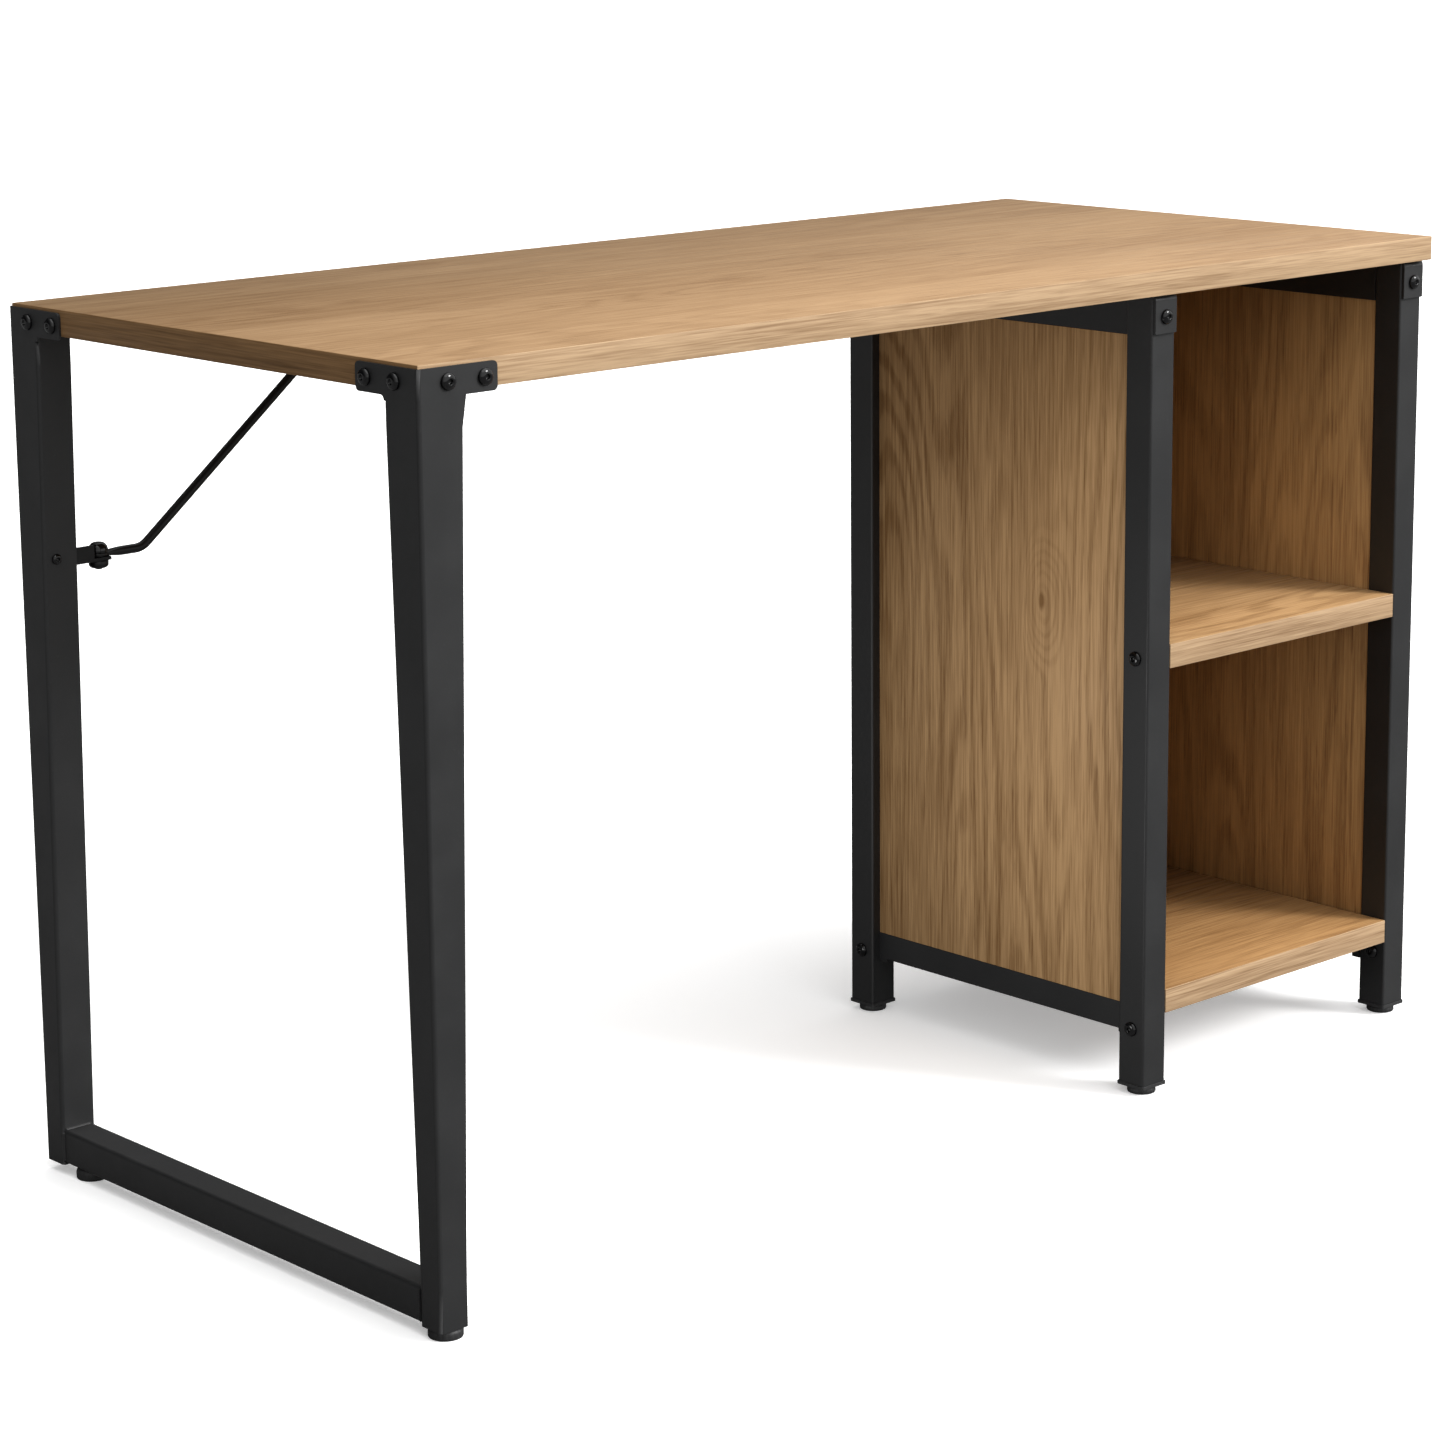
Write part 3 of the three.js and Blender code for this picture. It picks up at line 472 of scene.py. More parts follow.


# %% [markdown]
# ### One oak for each board
#
# The top is calm, with wide strips and little figure. The left panel has the only knot that
# shows, about three fifths of the way up. Its colours are painted paler than the plain oak, as
# painted light on the side that the top keeps in shade. The right panel's inside and the bottom
# shelf are painted darker, as painted shade in the bay. The front bands are paler than the top,
# and the end bands are painted much darker, as painted shade for the left end, which faces away
# from the light; the right end shares its colours.

# %% Board and band oaks
panel_low, panel_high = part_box("left_side_panel")
knot_place = (
    panel_low.z + 0.585 * (panel_high.z - panel_low.z),
    panel_high.y - 0.66 * (panel_high.y - panel_low.y),
    panel_low.x,
)
top_light, top_dark = (0.365, 0.232, 0.122, 1), (0.178, 0.093, 0.037, 1)
# The left panel's colours are painted paler than the plain oak: painted light for the shade it stands in
# under the top.
painted_lit_panel_light, painted_lit_panel_dark = (0.54, 0.330, 0.156, 1), (0.235, 0.122, 0.045, 1)
# The right panel's inside is painted darker and warmer: painted shade inside the bay.
painted_shade_inner_light = (0.42, 0.235, 0.090, 1)
# The bottom shelf is painted darker: painted shade deep in the bay under the middle shelf.
painted_shade_low_shelf_light, painted_shade_low_shelf_dark = (0.36, 0.200, 0.080, 1), (0.165, 0.075, 0.024, 1)
band_light, band_dark = (0.44, 0.300, 0.175, 1), (0.22, 0.130, 0.065, 1)
# The end bands are painted much darker: painted shade for the left end, which faces away from the light; the
# right end gets the same colours.
painted_shade_end_band_light, painted_shade_end_band_dark = (0.235, 0.132, 0.057, 1), (0.105, 0.054, 0.020, 1)

oak_top = oak_material(
    "oak_top", "XYZ", 3.0, strip_width=0.18, contrast=0.75, figure=0.6, light=top_light, dark=top_dark
)
oak_middle_shelf = oak_material("oak_middle_shelf", "XYZ", 11.4)
oak_bottom_shelf = oak_material("oak_bottom_shelf", "XYZ", 17.7, light=painted_shade_low_shelf_light, dark=painted_shade_low_shelf_dark)
oak_left_panel = oak_material(
    "oak_left_panel", "ZYX", 5.2, contrast=1.1, knot=knot_place, light=painted_lit_panel_light, dark=painted_lit_panel_dark
)
oak_right_panel = oak_material("oak_right_panel", "ZYX", 8.6, light=painted_shade_inner_light)
oak_back = oak_material("oak_back", "ZXY", 14.1)
band_print = {"strip_width": 0.3, "figure": 0.1}
band_along_x = oak_material(
    "oak_band_along_x", "XZY", 21.3, contrast=1.3, light=band_light, dark=band_dark, **band_print
)
band_along_y = oak_material(
    "oak_band_along_y", "YZX", 27.9, contrast=1.2, light=painted_shade_end_band_light, dark=painted_shade_end_band_dark, **band_print
)
print("oaks", sorted(material.name for material in bpy.data.materials if material.name.startswith("oak")))

# %% [markdown]
# ## Powder coat, black oxide and moulded plastic
#
# Powder coat is sprayed dry and baked, which leaves a fine orange peel about a millimetre across
# and a soft sheen. Bolts are oxidised black and much smoother. The brace is darker than the legs
# and a little glossier. The feet and caps are moulded, with a finer, duller skin. All of them
# share one group that makes a fine grain, a slow variation in sheen and a little dust, and each
# gives it its own scale.

# %% Black finishes


def make_fine_skin():
    tree, given, out = new_group(
        "fine_skin",
        [
            ("Place", "Vector", (0, 0, 0)),
            ("Grain Scale", "Float", 900.0),
            ("Base", "Color", (0.02, 0.02, 0.02, 1)),
            ("Dust", "Color", (0.08, 0.08, 0.08, 1)),
            ("Dust Amount", "Float", 0.1),
            ("Sheen Low", "Float", 0.4),
            ("Sheen High", "Float", 0.5),
        ],
        [("Color", "Color"), ("Roughness", "Float"), ("Height", "Float")],
    )
    place = calculate_vector(tree, "SCALE", given["Place"])
    feed(tree, place.node.inputs["Scale"], given["Grain Scale"])
    grain = speckle(tree, place, (1, 1, 1), detail=2.5, roughness=0.55)
    slow = speckle(tree, given["Place"], (14, 14, 14), detail=3, roughness=0.6)
    specks = ramp_between(tree, speckle(tree, given["Place"], (520, 520, 520), detail=1), 0.66, 0.76)
    dust = calculate(tree, "ADD", specks, ramp_between(tree, slow, 0.45, 0.8, 0.0, 0.5))
    dust = calculate(tree, "MULTIPLY", dust, given["Dust Amount"])
    feed(tree, out["Color"], mixed_colour(tree, dust, given["Base"], given["Dust"]))
    feed(tree, out["Roughness"], ramp_between(tree, slow, 0.3, 0.7, given["Sheen Low"], given["Sheen High"]))
    feed(tree, out["Height"], grain)
    return tree


fine_skin = make_fine_skin()


def black_material(name, base, dust, dust_amount, grain_scale, sheen, relief, specular=0.5):
    """sheen is the lowest and the highest roughness, and relief the grain's depth in metres."""
    material = bpy.data.materials.new(name)
    material.use_nodes = True
    tree = material.node_tree
    surface = tree.nodes["Principled BSDF"]
    coordinates = tree.nodes.new("ShaderNodeTexCoord")
    skin = placed_group(
        tree, fine_skin, Place=coordinates.outputs["Object"], Grain_Scale=grain_scale,
        Base=(*base, 1), Dust=(*dust, 1), Dust_Amount=dust_amount, Sheen_Low=sheen[0], Sheen_High=sheen[1],
    )
    feed(tree, surface.inputs["Base Color"], skin["Color"])
    feed(tree, surface.inputs["Roughness"], skin["Roughness"])
    surface.inputs["Specular IOR Level"].default_value = specular
    bump = tree.nodes.new("ShaderNodeBump")
    bump.inputs["Strength"].default_value = 0.5
    bump.inputs["Distance"].default_value = relief
    feed(tree, bump.inputs["Height"], skin["Height"])
    feed(tree, surface.inputs["Normal"], bump.outputs["Normal"])
    return material


powder_coat = black_material(
    "black_powder_coat", base=(0.0085, 0.0087, 0.0091), dust=(0.040, 0.040, 0.040), dust_amount=0.12,
    grain_scale=1100, sheen=(0.42, 0.52), relief=0.08 * MM, specular=0.45,
)
bolt_black = black_material(
    "black_oxide_bolt", base=(0.0022, 0.0022, 0.0025), dust=(0.03, 0.03, 0.03), dust_amount=0.04,
    grain_scale=2600, sheen=(0.08, 0.13), relief=0.01 * MM, specular=0.36,
)
brace_coat = black_material(
    "brace_coat", base=(0.0035, 0.0035, 0.0037), dust=(0.03, 0.03, 0.03), dust_amount=0.08,
    grain_scale=1100, sheen=(0.34, 0.44), relief=0.06 * MM, specular=0.26,
)
moulded_plastic = black_material(
    "moulded_plastic", base=(0.012, 0.012, 0.0125), dust=(0.07, 0.07, 0.07), dust_amount=0.12,
    grain_scale=3200, sheen=(0.50, 0.62), relief=0.03 * MM,
)
print("black finishes made")

# %% [markdown]
# ## Building pieces from rings
#
# Bolts, feet, weld beads and the brace rod are all made the same way: a stack of closed rings of
# points, joined by quads and closed at both ends. It is how a lathe or a swage sees a piece, one
# section after another, and it keeps the mesh clean enough to smooth. Edges sharper than a chosen
# angle stay crisp, and all others shade as one surface. Boards start from a cube instead.

# %% Mesh helpers
round_sides = 36


def finished_piece(name, form, materials, body, replaced=(), crisp_above=40):
    """Turns a bmesh into an object that rides on a body and stands for the nodes it replaces."""
    limit = math.radians(crisp_above)
    for edge in form.edges:
        edge.smooth = len(edge.link_faces) == 2 and edge.calc_face_angle(0) < limit
    for face in form.faces:
        face.smooth = True
    mesh = bpy.data.meshes.new(name)
    form.to_mesh(mesh)
    form.free()
    for material in materials:
        mesh.materials.append(material)
    piece = bpy.data.objects.new(name, mesh)
    scene.collection.objects.link(piece)
    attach(piece, body)
    if replaced:
        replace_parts(piece, *replaced)
    return piece


def skin_rings(form, rings):
    """Joins rings of equal length with quads and closes the first and the last."""
    made = [[form.verts.new(point) for point in ring] for ring in rings]
    count = len(made[0])
    for lower, upper in zip(made, made[1:]):
        for i in range(count):
            j = (i + 1) % count
            form.faces.new((lower[i], lower[j], upper[j], upper[i]))
    form.faces.new(list(reversed(made[0])))
    form.faces.new(made[-1])


def circle_ring(radius, height, sides=round_sides):
    angles = [2 * math.pi * i / sides for i in range(sides)]
    return [Vector((radius * math.cos(a), radius * math.sin(a), height)) for a in angles]


def hexagon_ring(flat, height, sides=round_sides):
    """A ring of points on a hexagon, flat being the distance from its middle to a side."""
    ring = []
    for i in range(sides):
        angle = 2 * math.pi * i / sides
        to_side = (angle + math.pi / 6) % (math.pi / 3) - math.pi / 6
        radius = flat / math.cos(to_side)
        ring.append(Vector((radius * math.cos(angle), radius * math.sin(angle), height)))
    return ring


def moved_rings(rings, matrix):
    return [[matrix @ point for point in ring] for ring in rings]


def rounded_box(form, low, high, radius, steps, material_index=0):
    """A box with its edges rounded, added to form."""
    made = bmesh.ops.create_cube(form, size=1)["verts"]
    size = high - low
    for vert in made:
        vert.co = low + Vector([(c + 0.5) * s for c, s in zip(vert.co, size)])
    faces = {face for vert in made for face in vert.link_faces}
    edges = {edge for face in faces for edge in face.edges}
    for face in faces:
        face.material_index = material_index
    bmesh.ops.bevel(
        form, geom=list(edges), offset=radius, segments=steps, profile=0.5,
        affect="EDGES", clamp_overlap=True, material=material_index,
    )


# %% [markdown]
# ## The boards
#
# A furniture board is a slab with a decor sheet on each face and a plastic band glued round its
# edges. The band is milled flush and its arris broken, and that small round is what catches the
# light along a desk's edge. So each board is built as a slab, a hair smaller than its node, with
# a separate band on each visible edge. The bands meet at the corners with a fine seam.

# %% Boards
band_thickness = 1.0 * MM
band_round = 0.8 * MM
slab_round = 0.15 * MM
corner_seam = 0.08 * MM


def make_board(name, node, decor, banded):
    """banded lists the edges that carry a band: -X, +X, -Y or +Y."""
    low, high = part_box(node)
    form = bmesh.new()
    inset = {side: band_thickness if side in banded else 0 for side in ("-X", "+X", "-Y", "+Y")}
    slab_low = low + Vector((inset["-X"], inset["-Y"], 0))
    slab_high = high - Vector((inset["+X"], inset["+Y"], 0))
    rounded_box(form, slab_low, slab_high, slab_round, steps=1)
    for side in banded:
        band_low, band_high = low.copy(), high.copy()
        if side[1] == "X":
            band_low.y += inset["-Y"] + (corner_seam if "-Y" in banded else 0)
            band_high.y -= inset["+Y"] + (corner_seam if "+Y" in banded else 0)
            if side == "-X":
                band_high.x = low.x + band_thickness
            else:
                band_low.x = high.x - band_thickness
        elif side == "-Y":
            band_high.y = low.y + band_thickness
        else:
            band_low.y = high.y - band_thickness
        # Bands on the ends (-X and +X) take the dark end-band oak, which is painted shade.
        band_index = 2 if side[1] == "X" else 1
        rounded_box(form, band_low, band_high, band_round, steps=3, material_index=band_index)
    materials = [decor, band_along_x, band_along_y]
    finished_piece(name, form, materials, body_of[node], [node], crisp_above=60)


make_board("desktop_board", "desktop", oak_top, ("-X", "+X", "-Y", "+Y"))
make_board("middle_shelf_board", "middle_shelf", oak_middle_shelf, ("-Y",))
make_board("bottom_shelf_board", "bottom_shelf", oak_bottom_shelf, ("-Y",))
make_board("left_side_board", "left_side_panel", oak_left_panel, ())
make_board("right_side_board", "right_side_panel", oak_right_panel, ())
make_board("back_board", "back_panel", oak_back, ())
print("boards made")

# %% [markdown]
# ## The bolts
#
# They are button-head bolts: a low dome with a hexagon socket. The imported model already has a
# coarse bolt in each place, so its axis, head and shank are measured from that node, and a finer
# one is turned on the same axis. The dome is an arc, and the socket is a ring that changes from a
# circle to a hexagon.

# %% Bolts
dome_steps = 6
shank_chamfer = 0.4 * MM
rim_softness = 0.15 * MM
widest_socket = 2.0 * MM  # from its middle to a flat
socket_lead = 0.2 * MM


def measured_bolt(node):
    """The bolt's frame and sizes: a matrix with its head along +Z from the seat, and its radii."""
    points = [v.co.copy() for v in nodes[node].data.vertices]
    low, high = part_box(node)
    size = high - low
    axis = max(range(3), key=lambda i: size[i])
    middle = (low + high) / 2
    across = [i for i in range(3) if i != axis]
    radius_at = [(math.hypot(*(p[i] - middle[i] for i in across)), p[axis]) for p in points]
    head_radius = max(r for r, _ in radius_at)
    head_places = [place for r, place in radius_at if r > 0.9 * head_radius]
    sense = 1 if sum(head_places) / len(head_places) > middle[axis] else -1
    seat = min(head_places) if sense > 0 else max(head_places)
    end = high[axis] if sense > 0 else low[axis]
    tail = low[axis] if sense > 0 else high[axis]
    shank_radius = max(r for r, place in radius_at if abs(place - tail) < 0.1 * MM)
    origin = middle.copy()
    origin[axis] = seat
    direction = Vector([sense if i == axis else 0 for i in range(3)])
    frame_matrix = Matrix.Translation(origin) @ direction.to_track_quat("Z", "Y").to_matrix().to_4x4()
    return frame_matrix, head_radius, abs(end - seat), shank_radius, abs(seat - tail)


def bolt_rings(head_radius, head_height, shank_radius, length):
    flat = min(widest_socket, head_radius * 0.34)
    rim = 0.18 * head_height
    crown_radius = flat * 1.35
    rings = [
        circle_ring(shank_radius * 0.8, -length),
        circle_ring(shank_radius, -length + shank_chamfer),
        circle_ring(shank_radius, 0),
        circle_ring(head_radius - rim_softness, 0),
        circle_ring(head_radius, rim_softness),
        circle_ring(head_radius, rim),
    ]
    for step in range(1, dome_steps + 1):
        turn_angle = math.pi / 2 * step / dome_steps
        radius = crown_radius + (head_radius - crown_radius) * math.cos(turn_angle)
        rings.append(circle_ring(radius, rim + (head_height - rim) * math.sin(turn_angle)))
    depth = head_height * 0.62
    rings += [
        hexagon_ring(flat * 1.08, head_height),
        hexagon_ring(flat, head_height - socket_lead),
        hexagon_ring(flat, head_height - depth),
        circle_ring(flat * 0.3, head_height - depth - 0.3 * MM),
    ]
    return rings


def make_bolt(node):
    matrix, head_radius, head_height, shank_radius, length = measured_bolt(node)
    form = bmesh.new()
    skin_rings(form, moved_rings(bolt_rings(head_radius, head_height, shank_radius, length), matrix))
    finished_piece(node + "_turned", form, [bolt_black], body_of[node], [node], crisp_above=50)


bolts = [name for name in nodes if "_bolt" in name or "_screw" in name]
for bolt in sorted(bolts):
    make_bolt(bolt)
print("bolts", len(bolts))

# %% [markdown]
# ## The levelling feet
#
# Each foot is a moulded disc with grip flutes round its rim, on a threaded steel stem. The stem
# only shows when the foot is screwed out, and then its thread is what the eye looks for, so it is
# cut as a real helix: the radius of each point follows its height less its share of a turn.

# %% Feet
thread_pitch = 1.25 * MM
thread_depth = 0.5 * MM
thread_sides = 24
rows_per_turn = 4
flutes = 18
flute_depth = 0.35 * MM
disc_round = 1.2 * MM


def fluted_ring(radius, height, depth, sides=108):
    ring = []
    for i in range(sides):
        angle = 2 * math.pi * i / sides
        dip = depth * max(0.0, math.cos(flutes * angle)) ** 2
        ring.append(Vector(((radius - dip) * math.cos(angle), (radius - dip) * math.sin(angle), height)))
    return ring


def thread_ring(radius, height):
    ring = []
    for i in range(thread_sides):
        turn_share = i / thread_sides
        wave = abs((height / thread_pitch - turn_share) % 1 - 0.5) * 2
        r = radius - thread_depth * wave
        angle = 2 * math.pi * turn_share
        ring.append(Vector((r * math.cos(angle), r * math.sin(angle), height)))
    return ring


def disc_profile(radius, stem_radius, top):
    """Radius, height and share of the flutes' depth, from the sole up over the rim to the stem."""
    return (
        (radius - 3 * MM, 0.0, 0),
        (radius - disc_round, 0.0, 0),
        (radius - 0.3 * disc_round, 0.3 * disc_round, 0.3),
        (radius, disc_round, 1),
        (radius, 0.62 * top, 1),
        (radius - 0.3 * disc_round, 0.74 * top, 0.5),
        (radius - 1.6 * MM, top - 0.4 * MM, 0),
        (radius - 2.4 * MM, top, 0),
        (stem_radius + 0.2 * MM, top, 0),
    )


def make_foot(node):
    low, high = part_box(node)
    middle = (low + high) / 2
    radius = (high.x - low.x) / 2
    points = [v.co for v in nodes[node].data.vertices]
    from_axis = [(math.hypot(p.x - middle.x, p.y - middle.y), p.z) for p in points]
    stem_radius = max(r for r, z in from_axis if z > high.z - 0.1 * MM)
    disc_top = max(z for r, z in from_axis if r > stem_radius + 1 * MM)
    place = Matrix.Translation((middle.x, middle.y, 0))
    disc = bmesh.new()
    profile = disc_profile(radius, stem_radius, disc_top)
    disc_rings = [fluted_ring(r, z, flute_depth * share) for r, z, share in profile]
    skin_rings(disc, moved_rings(disc_rings, place))
    finished_piece(
        node + "_disc", disc, [moulded_plastic], body_of[node], [node], crisp_above=50
    )
    stem = bmesh.new()
    rows = int((high.z - disc_top) / thread_pitch * rows_per_turn)
    in_disc = 1 * MM
    heights = [disc_top - in_disc + (high.z - disc_top + in_disc) * i / rows for i in range(rows + 1)]
    stem_rings = [thread_ring(stem_radius, z) for z in heights]
    skin_rings(stem, moved_rings(stem_rings, place))
    finished_piece(node + "_stem", stem, [bolt_black], body_of[node], crisp_above=70)


feet = sorted(name for name in nodes if name.endswith("_foot"))
for foot in feet:
    make_foot(foot)
print("feet", len(feet))

# %% [markdown]
# ## The brace
#
# The brace is one round bar whose ends are pressed flat and drilled. It is swept along its
# centre line: level out of the bracket, a bend, a straight run up, a second bend and a level end
# under the top. Along the way each section changes from round to flat and back, and as a pressed
# bar keeps its area, it grows wider where it grows thinner. The lower eye is clamped by a bolt
# and a low domed nut, which is turned like the bolt heads.

# %% Brace rod
rod_low, rod_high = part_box("brace_rod")
pivot_low, pivot_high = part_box("brace_pivot_bolt")
screw_low, screw_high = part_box("brace_top_screw")
rod_radius = 4.0 * MM
eye_thickness = 3.6 * MM
eye_radius = (rod_high.y - rod_low.y) / 2
eye_steps = 12
level_run = 37 * MM
bend_run = 7 * MM
bend_steps = 10
rod_slope = math.radians(39)
rod_sides = 28
press_fade = 14 * MM  # the way from an eye over which the bar grows round again
press_spread = 1.2 * MM
least_half_width = 0.8 * MM
brace_y = (rod_low.y + rod_high.y) / 2
pivot_x = (pivot_low.x + pivot_high.x) / 2
upper_x = (screw_low.x + screw_high.x) / 2


def bend(corner, before, after):
    """Points round a bend: a parabola that leaves the corner out by bend_run on each side."""
    start, end = corner - before * bend_run, corner + after * bend_run
    for i in range(bend_steps + 1):
        t = i / bend_steps
        yield start * (1 - t) ** 2 + corner * 2 * t * (1 - t) + end * t**2


def across_eye(eye_x, z):
    """Points (x, z) along the bar's middle from one side of an eye to the other."""
    return [Vector((eye_x - eye_radius + eye_radius * 2 * i / eye_steps, z)) for i in range(eye_steps + 1)]


def rod_centre_line():
    """Points (x, z) of the bar's middle from the lower eye to the upper one."""
    upper_z = rod_high.z - eye_thickness / 2
    level_z = rod_low.z + rod_radius
    first_corner = Vector((pivot_x + level_run + bend_run, level_z))
    last_corner = Vector((first_corner.x + (upper_z - level_z) / math.tan(rod_slope), upper_z))
    uphill = Vector((math.cos(rod_slope), math.sin(rod_slope)))
    flat = Vector((1, 0))
    line = across_eye(pivot_x, level_z)
    line += [Vector((pivot_x + eye_radius + s * MM, level_z)) for s in (2, 5, 8, 12, 16)]
    line += list(bend(first_corner, flat, uphill))
    line += list(bend(last_corner, uphill, flat))
    line += [Vector((last_corner.x + bend_run + s * MM, upper_z)) for s in (2, 5)]
    line += across_eye(upper_x, upper_z)
    return line


def half_width_at(x, eye_x, pressed):
    """Half the bar's width along Y, with the outer half of each eye rounded off."""
    half_width = rod_radius + press_spread * pressed
    if abs(x - eye_x) <= eye_radius:
        round_end = math.sqrt(max(0.0, eye_radius**2 - (x - eye_x) ** 2))
        outer_half = x < pivot_x or x > upper_x
        half_width = round_end if outer_half else max(half_width, round_end)
    return max(half_width, least_half_width)


def rod_section(point, along):
    """A closed ring round the bar: a circle where it is round, nearly a rectangle where pressed."""
    up = Vector((-along.y, along.x))
    eye_x = pivot_x if abs(point.x - pivot_x) < abs(point.x - upper_x) else upper_x
    pressed = min(1.0, max(0.0, 1 - (abs(point.x - eye_x) - eye_radius) / press_fade))
    half_height = rod_radius + (eye_thickness / 2 - rod_radius) * pressed
    half_width = half_width_at(point.x, eye_x, pressed)
    squareness = 2 + 4 * pressed
    ring = []
    for k in range(rod_sides):
        angle = 2 * math.pi * k / rod_sides
        c, s = math.cos(angle), math.sin(angle)
        side = half_width * math.copysign(abs(c) ** (2 / squareness), c)
        rise = half_height * math.copysign(abs(s) ** (2 / squareness), s)
        ring.append(Vector((point.x + up.x * rise, brace_y + side, point.y + up.y * rise)))
    return ring


def make_brace_rod():
    line = rod_centre_line()
    rings = []
    for i, point in enumerate(line):
        before, after = line[max(i - 1, 0)], line[min(i + 1, len(line) - 1)]
        rings.append(rod_section(point, (after - before).normalized()))
    form = bmesh.new()
    skin_rings(form, rings)
    body = body_of["brace_rod"]
    finished_piece("brace_rod_bar", form, [brace_coat], body, ["brace_rod"], crisp_above=45)


nut_chamfer = 0.3 * MM


def make_pivot_nut(node):
    """A low nut with a domed end that faces down, turned in the place of its node."""
    low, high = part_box(node)
    middle = (low + high) / 2
    radius, height = (high.x - low.x) / 2, high.z - low.z
    rings = []
    for step in range(dome_steps + 1):
        turn_angle = math.pi / 2 * step / dome_steps
        ring_radius = radius * (0.35 + 0.65 * math.sin(turn_angle))
        rings.append(circle_ring(ring_radius, 0.5 * height * (1 - math.cos(turn_angle))))
    rings += [circle_ring(radius, height - nut_chamfer), circle_ring(radius - nut_chamfer, height)]
    form = bmesh.new()
    skin_rings(form, moved_rings(rings, Matrix.Translation((middle.x, middle.y, low.z))))
    finished_piece(node + "_turned", form, [brace_coat], body_of[node], [node], crisp_above=50)


make_brace_rod()
make_pivot_nut("brace_pivot_nut")
print("brace made")

# %% [markdown]
# ## Folded and welded steel
#
# The legs, posts, rails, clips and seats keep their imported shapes: they are sheet and tube, and
# their sizes are exact. What a plain solid lacks is the small round on every cut edge, where the
# powder has pulled back over a deburred corner. A Bevel modifier adds it without touching the
# mesh. A small geometry node group goes before it. It joins the points that the file keeps apart,
# and lets only the facets of rounded bends shade as one surface, so that every flat stays flat.

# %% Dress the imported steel
edge_round = 0.45 * MM
cap_round = 0.9 * MM
bevel_above = math.radians(50)
bend_line_above = math.radians(26)


def make_smooth_bends():
    """Joins points that lie together, and shades the facets of rounded bends as one surface."""
    group = bpy.data.node_groups.new("smooth_bends", "GeometryNodeTree")
    group.interface.new_socket("Geometry", in_out="INPUT", socket_type="NodeSocketGeometry")
    group.interface.new_socket("Geometry", in_out="OUTPUT", socket_type="NodeSocketGeometry")
    given, out = group.nodes.new("NodeGroupInput").outputs, group.nodes.new("NodeGroupOutput").inputs
    join = group.nodes.new("GeometryNodeMergeByDistance")
    join.inputs["Distance"].default_value = 0.01 * MM
    feed(group, join.inputs["Geometry"], given["Geometry"])
    angle = group.nodes.new("GeometryNodeInputMeshEdgeAngle").outputs["Unsigned Angle"]
    above = calculate(group, "GREATER_THAN", angle, bend_line_above)
    below = calculate(group, "LESS_THAN", angle, bevel_above)
    per_edge = group.nodes.new("GeometryNodeFieldOnDomain")
    per_edge.domain = "EDGE"
    feed(group, per_edge.inputs["Value"], calculate(group, "MULTIPLY", above, below))
    smooth = group.nodes.new("GeometryNodeSetShadeSmooth")
    smooth.domain = "FACE"
    feed(group, smooth.inputs["Geometry"], join.outputs["Geometry"])
    feed(group, smooth.inputs["Selection"], calculate(group, "GREATER_THAN", per_edge.outputs["Value"], 0.01))
    feed(group, out["Geometry"], smooth.outputs["Geometry"])
    return group


smooth_bends = make_smooth_bends()


def dress(node, material, radius, segments=2):
    piece = nodes[node]
    piece.data.materials.clear()
    piece.data.materials.append(material)
    piece.data.polygons.foreach_set("use_smooth", [False] * len(piece.data.polygons))
    bends = piece.modifiers.new("smooth_bends", "NODES")
    bends.node_group = smooth_bends
    bevel = piece.modifiers.new("edge_round", "BEVEL")
    bevel.width = radius
    bevel.segments = segments
    bevel.limit_method = "ANGLE"
    bevel.angle_limit = bevel_above
    bevel.use_clamp_overlap = True


remade = {name for piece in bpy.data.objects for name in piece.get("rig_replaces", [])}
slots = {entry["node"]: entry["material_slot"] for entry in frame["record"]["subparts"]}
finish_of = {
    "black_steel": (powder_coat, edge_round),
    "black_bolt": (bolt_black, edge_round),
    "black_plastic": (moulded_plastic, cap_round),
}
kept = sorted(set(nodes) - remade)
for node in kept:
    material, radius = finish_of[slots[node]]
    dress(node, brace_coat if node.startswith("brace_") else material, radius)
print("dressed", len(kept), kept)

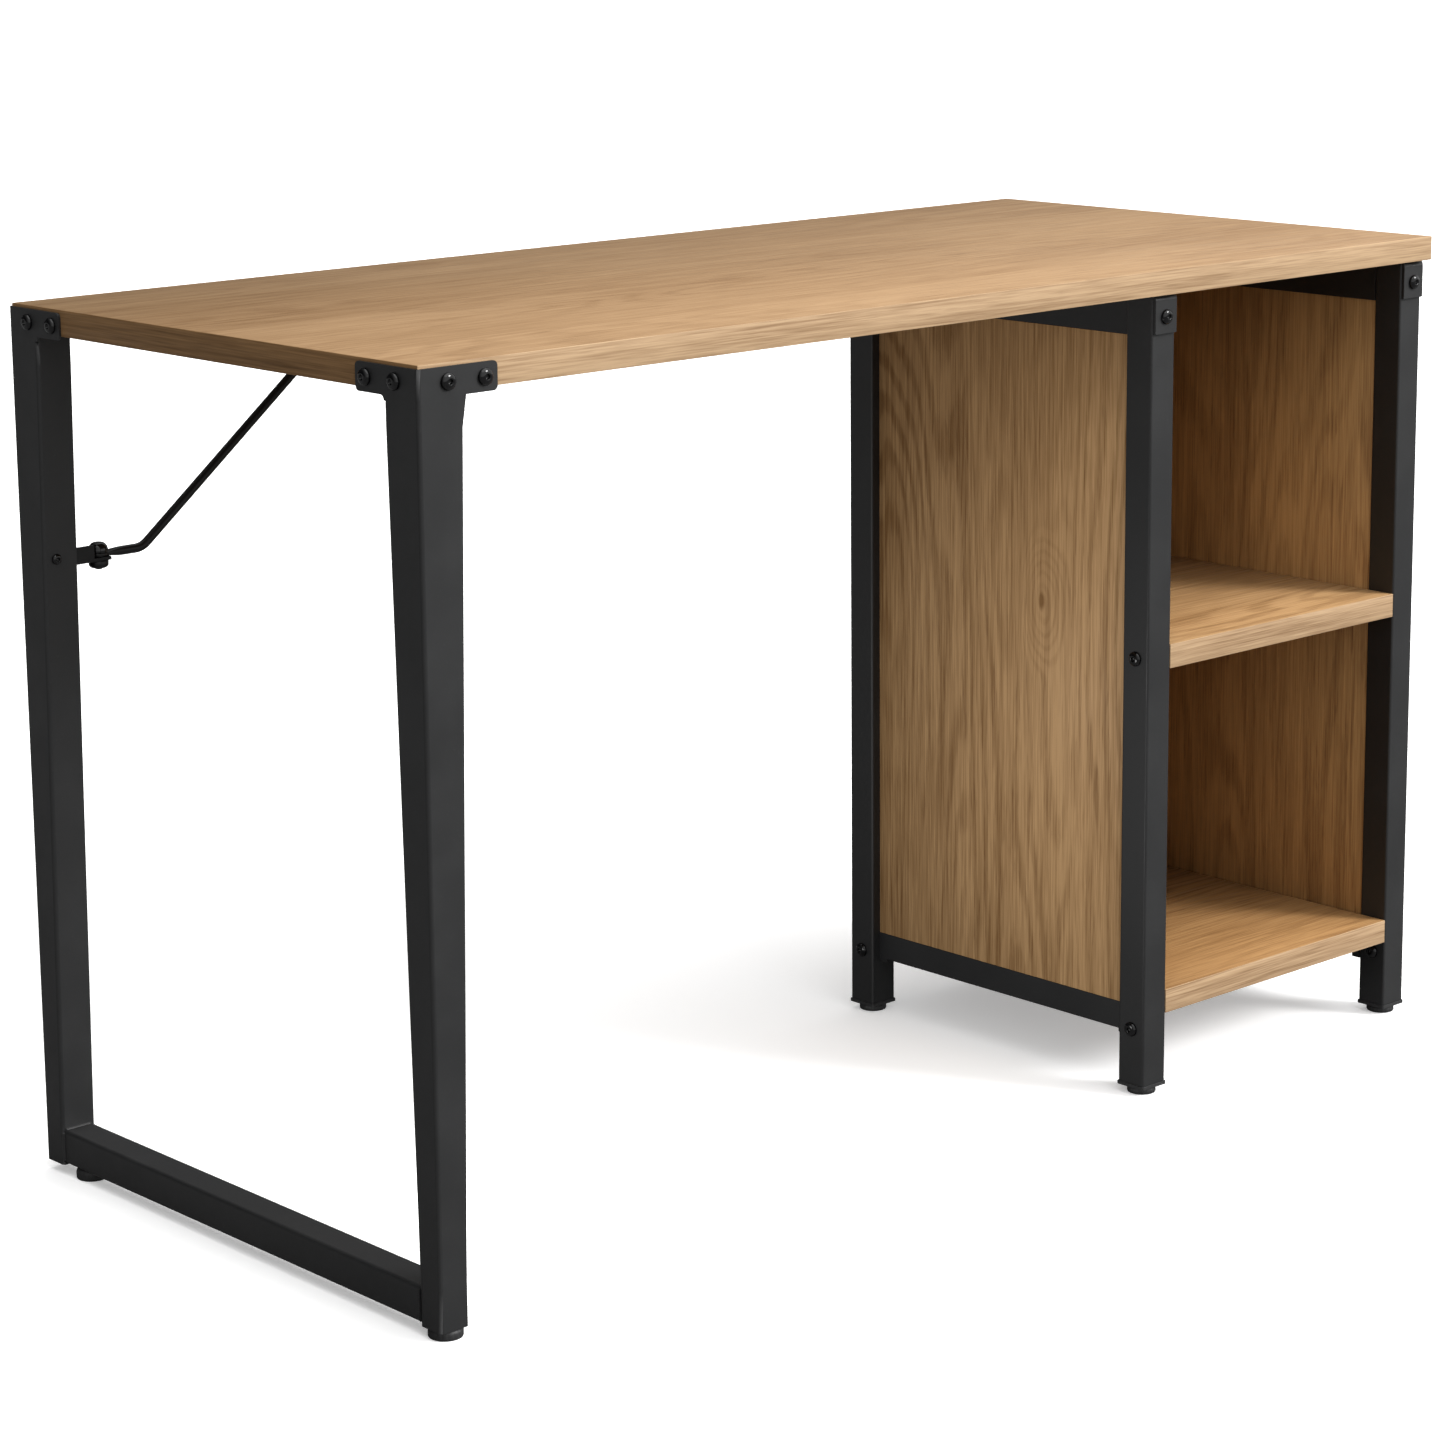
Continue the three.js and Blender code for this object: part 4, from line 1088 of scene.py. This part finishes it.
# %% [markdown]
# ## Weld beads
#
# The tube frames are welded before they are coated. A bead is a small fillet with a ripple every
# millimetre or so, where the welder moved the torch. Here it is swept only round both ends of the
# leg rail, a quarter-round that leans on both faces, and the powder coat covers it like everything else.

# %% Weld beads
bead_size = 1.7 * MM
bead_step = 0.45 * MM
ripple_pitch = 1.6 * MM
bead_sides = 8
bead_root = 0.3 * MM  # how far it goes into the corner
bead_stop = 1.5 * MM  # how far short of a rail's edge it ends


def add_bead(form, start, end, first_face, second_face, seed):
    """A fillet from start to end in the corner between faces whose outward normals are given."""
    length = (end - start).length
    along = (end - start) / length
    count = max(4, int(length / bead_step))
    rings = []
    for i in range(count + 1):
        at = start + along * (length * i / count)
        end_taper = min(1.0, 0.35 + min(i, count - i) / 3)
        ripple = 1 + 0.09 * math.sin(2 * math.pi * length * i / count / ripple_pitch)
        wobble = 1 + 0.12 * noise.noise(Vector((seed, 60 * length * i / count, 0)))
        size = bead_size * end_taper * ripple * wobble
        ring = [at - (first_face + second_face) * bead_root]
        for k in range(bead_sides - 1):
            angle = math.pi / 2 * k / (bead_sides - 2)
            bulge = 0.80 + 0.20 * abs(math.cos(2 * angle))
            ring.append(at + (first_face * math.cos(angle) + second_face * math.sin(angle)) * size * bulge)
        rings.append(ring)
    skin_rings(form, rings)


X, Y, Z = Vector((1, 0, 0)), Vector((0, 1, 0)), Vector((0, 0, 1))


def rail_end_beads(form, rail, seed):
    """Beads round both ends of a rail that runs along Y between two uprights."""
    low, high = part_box(rail)
    for place, inward in ((low.y, Y), (high.y, -Y)):
        for x, outward in ((low.x, -X), (high.x, X)):
            start, end = Vector((x, place, low.z + bead_stop)), Vector((x, place, high.z - bead_stop))
            add_bead(form, start, end, outward, inward, seed + x)
        start, end = Vector((low.x + 2 * MM, place, high.z)), Vector((high.x - 2 * MM, place, high.z))
        add_bead(form, start, end, Z, inward, seed + place)


beads = bmesh.new()
rail_end_beads(beads, "leg_rail", 1.0)
bmesh.ops.recalc_face_normals(beads, faces=beads.faces)
print("weld bead faces", len(beads.faces))
finished_piece("leg_frame_welds", beads, [powder_coat], "desk", crisp_above=70)
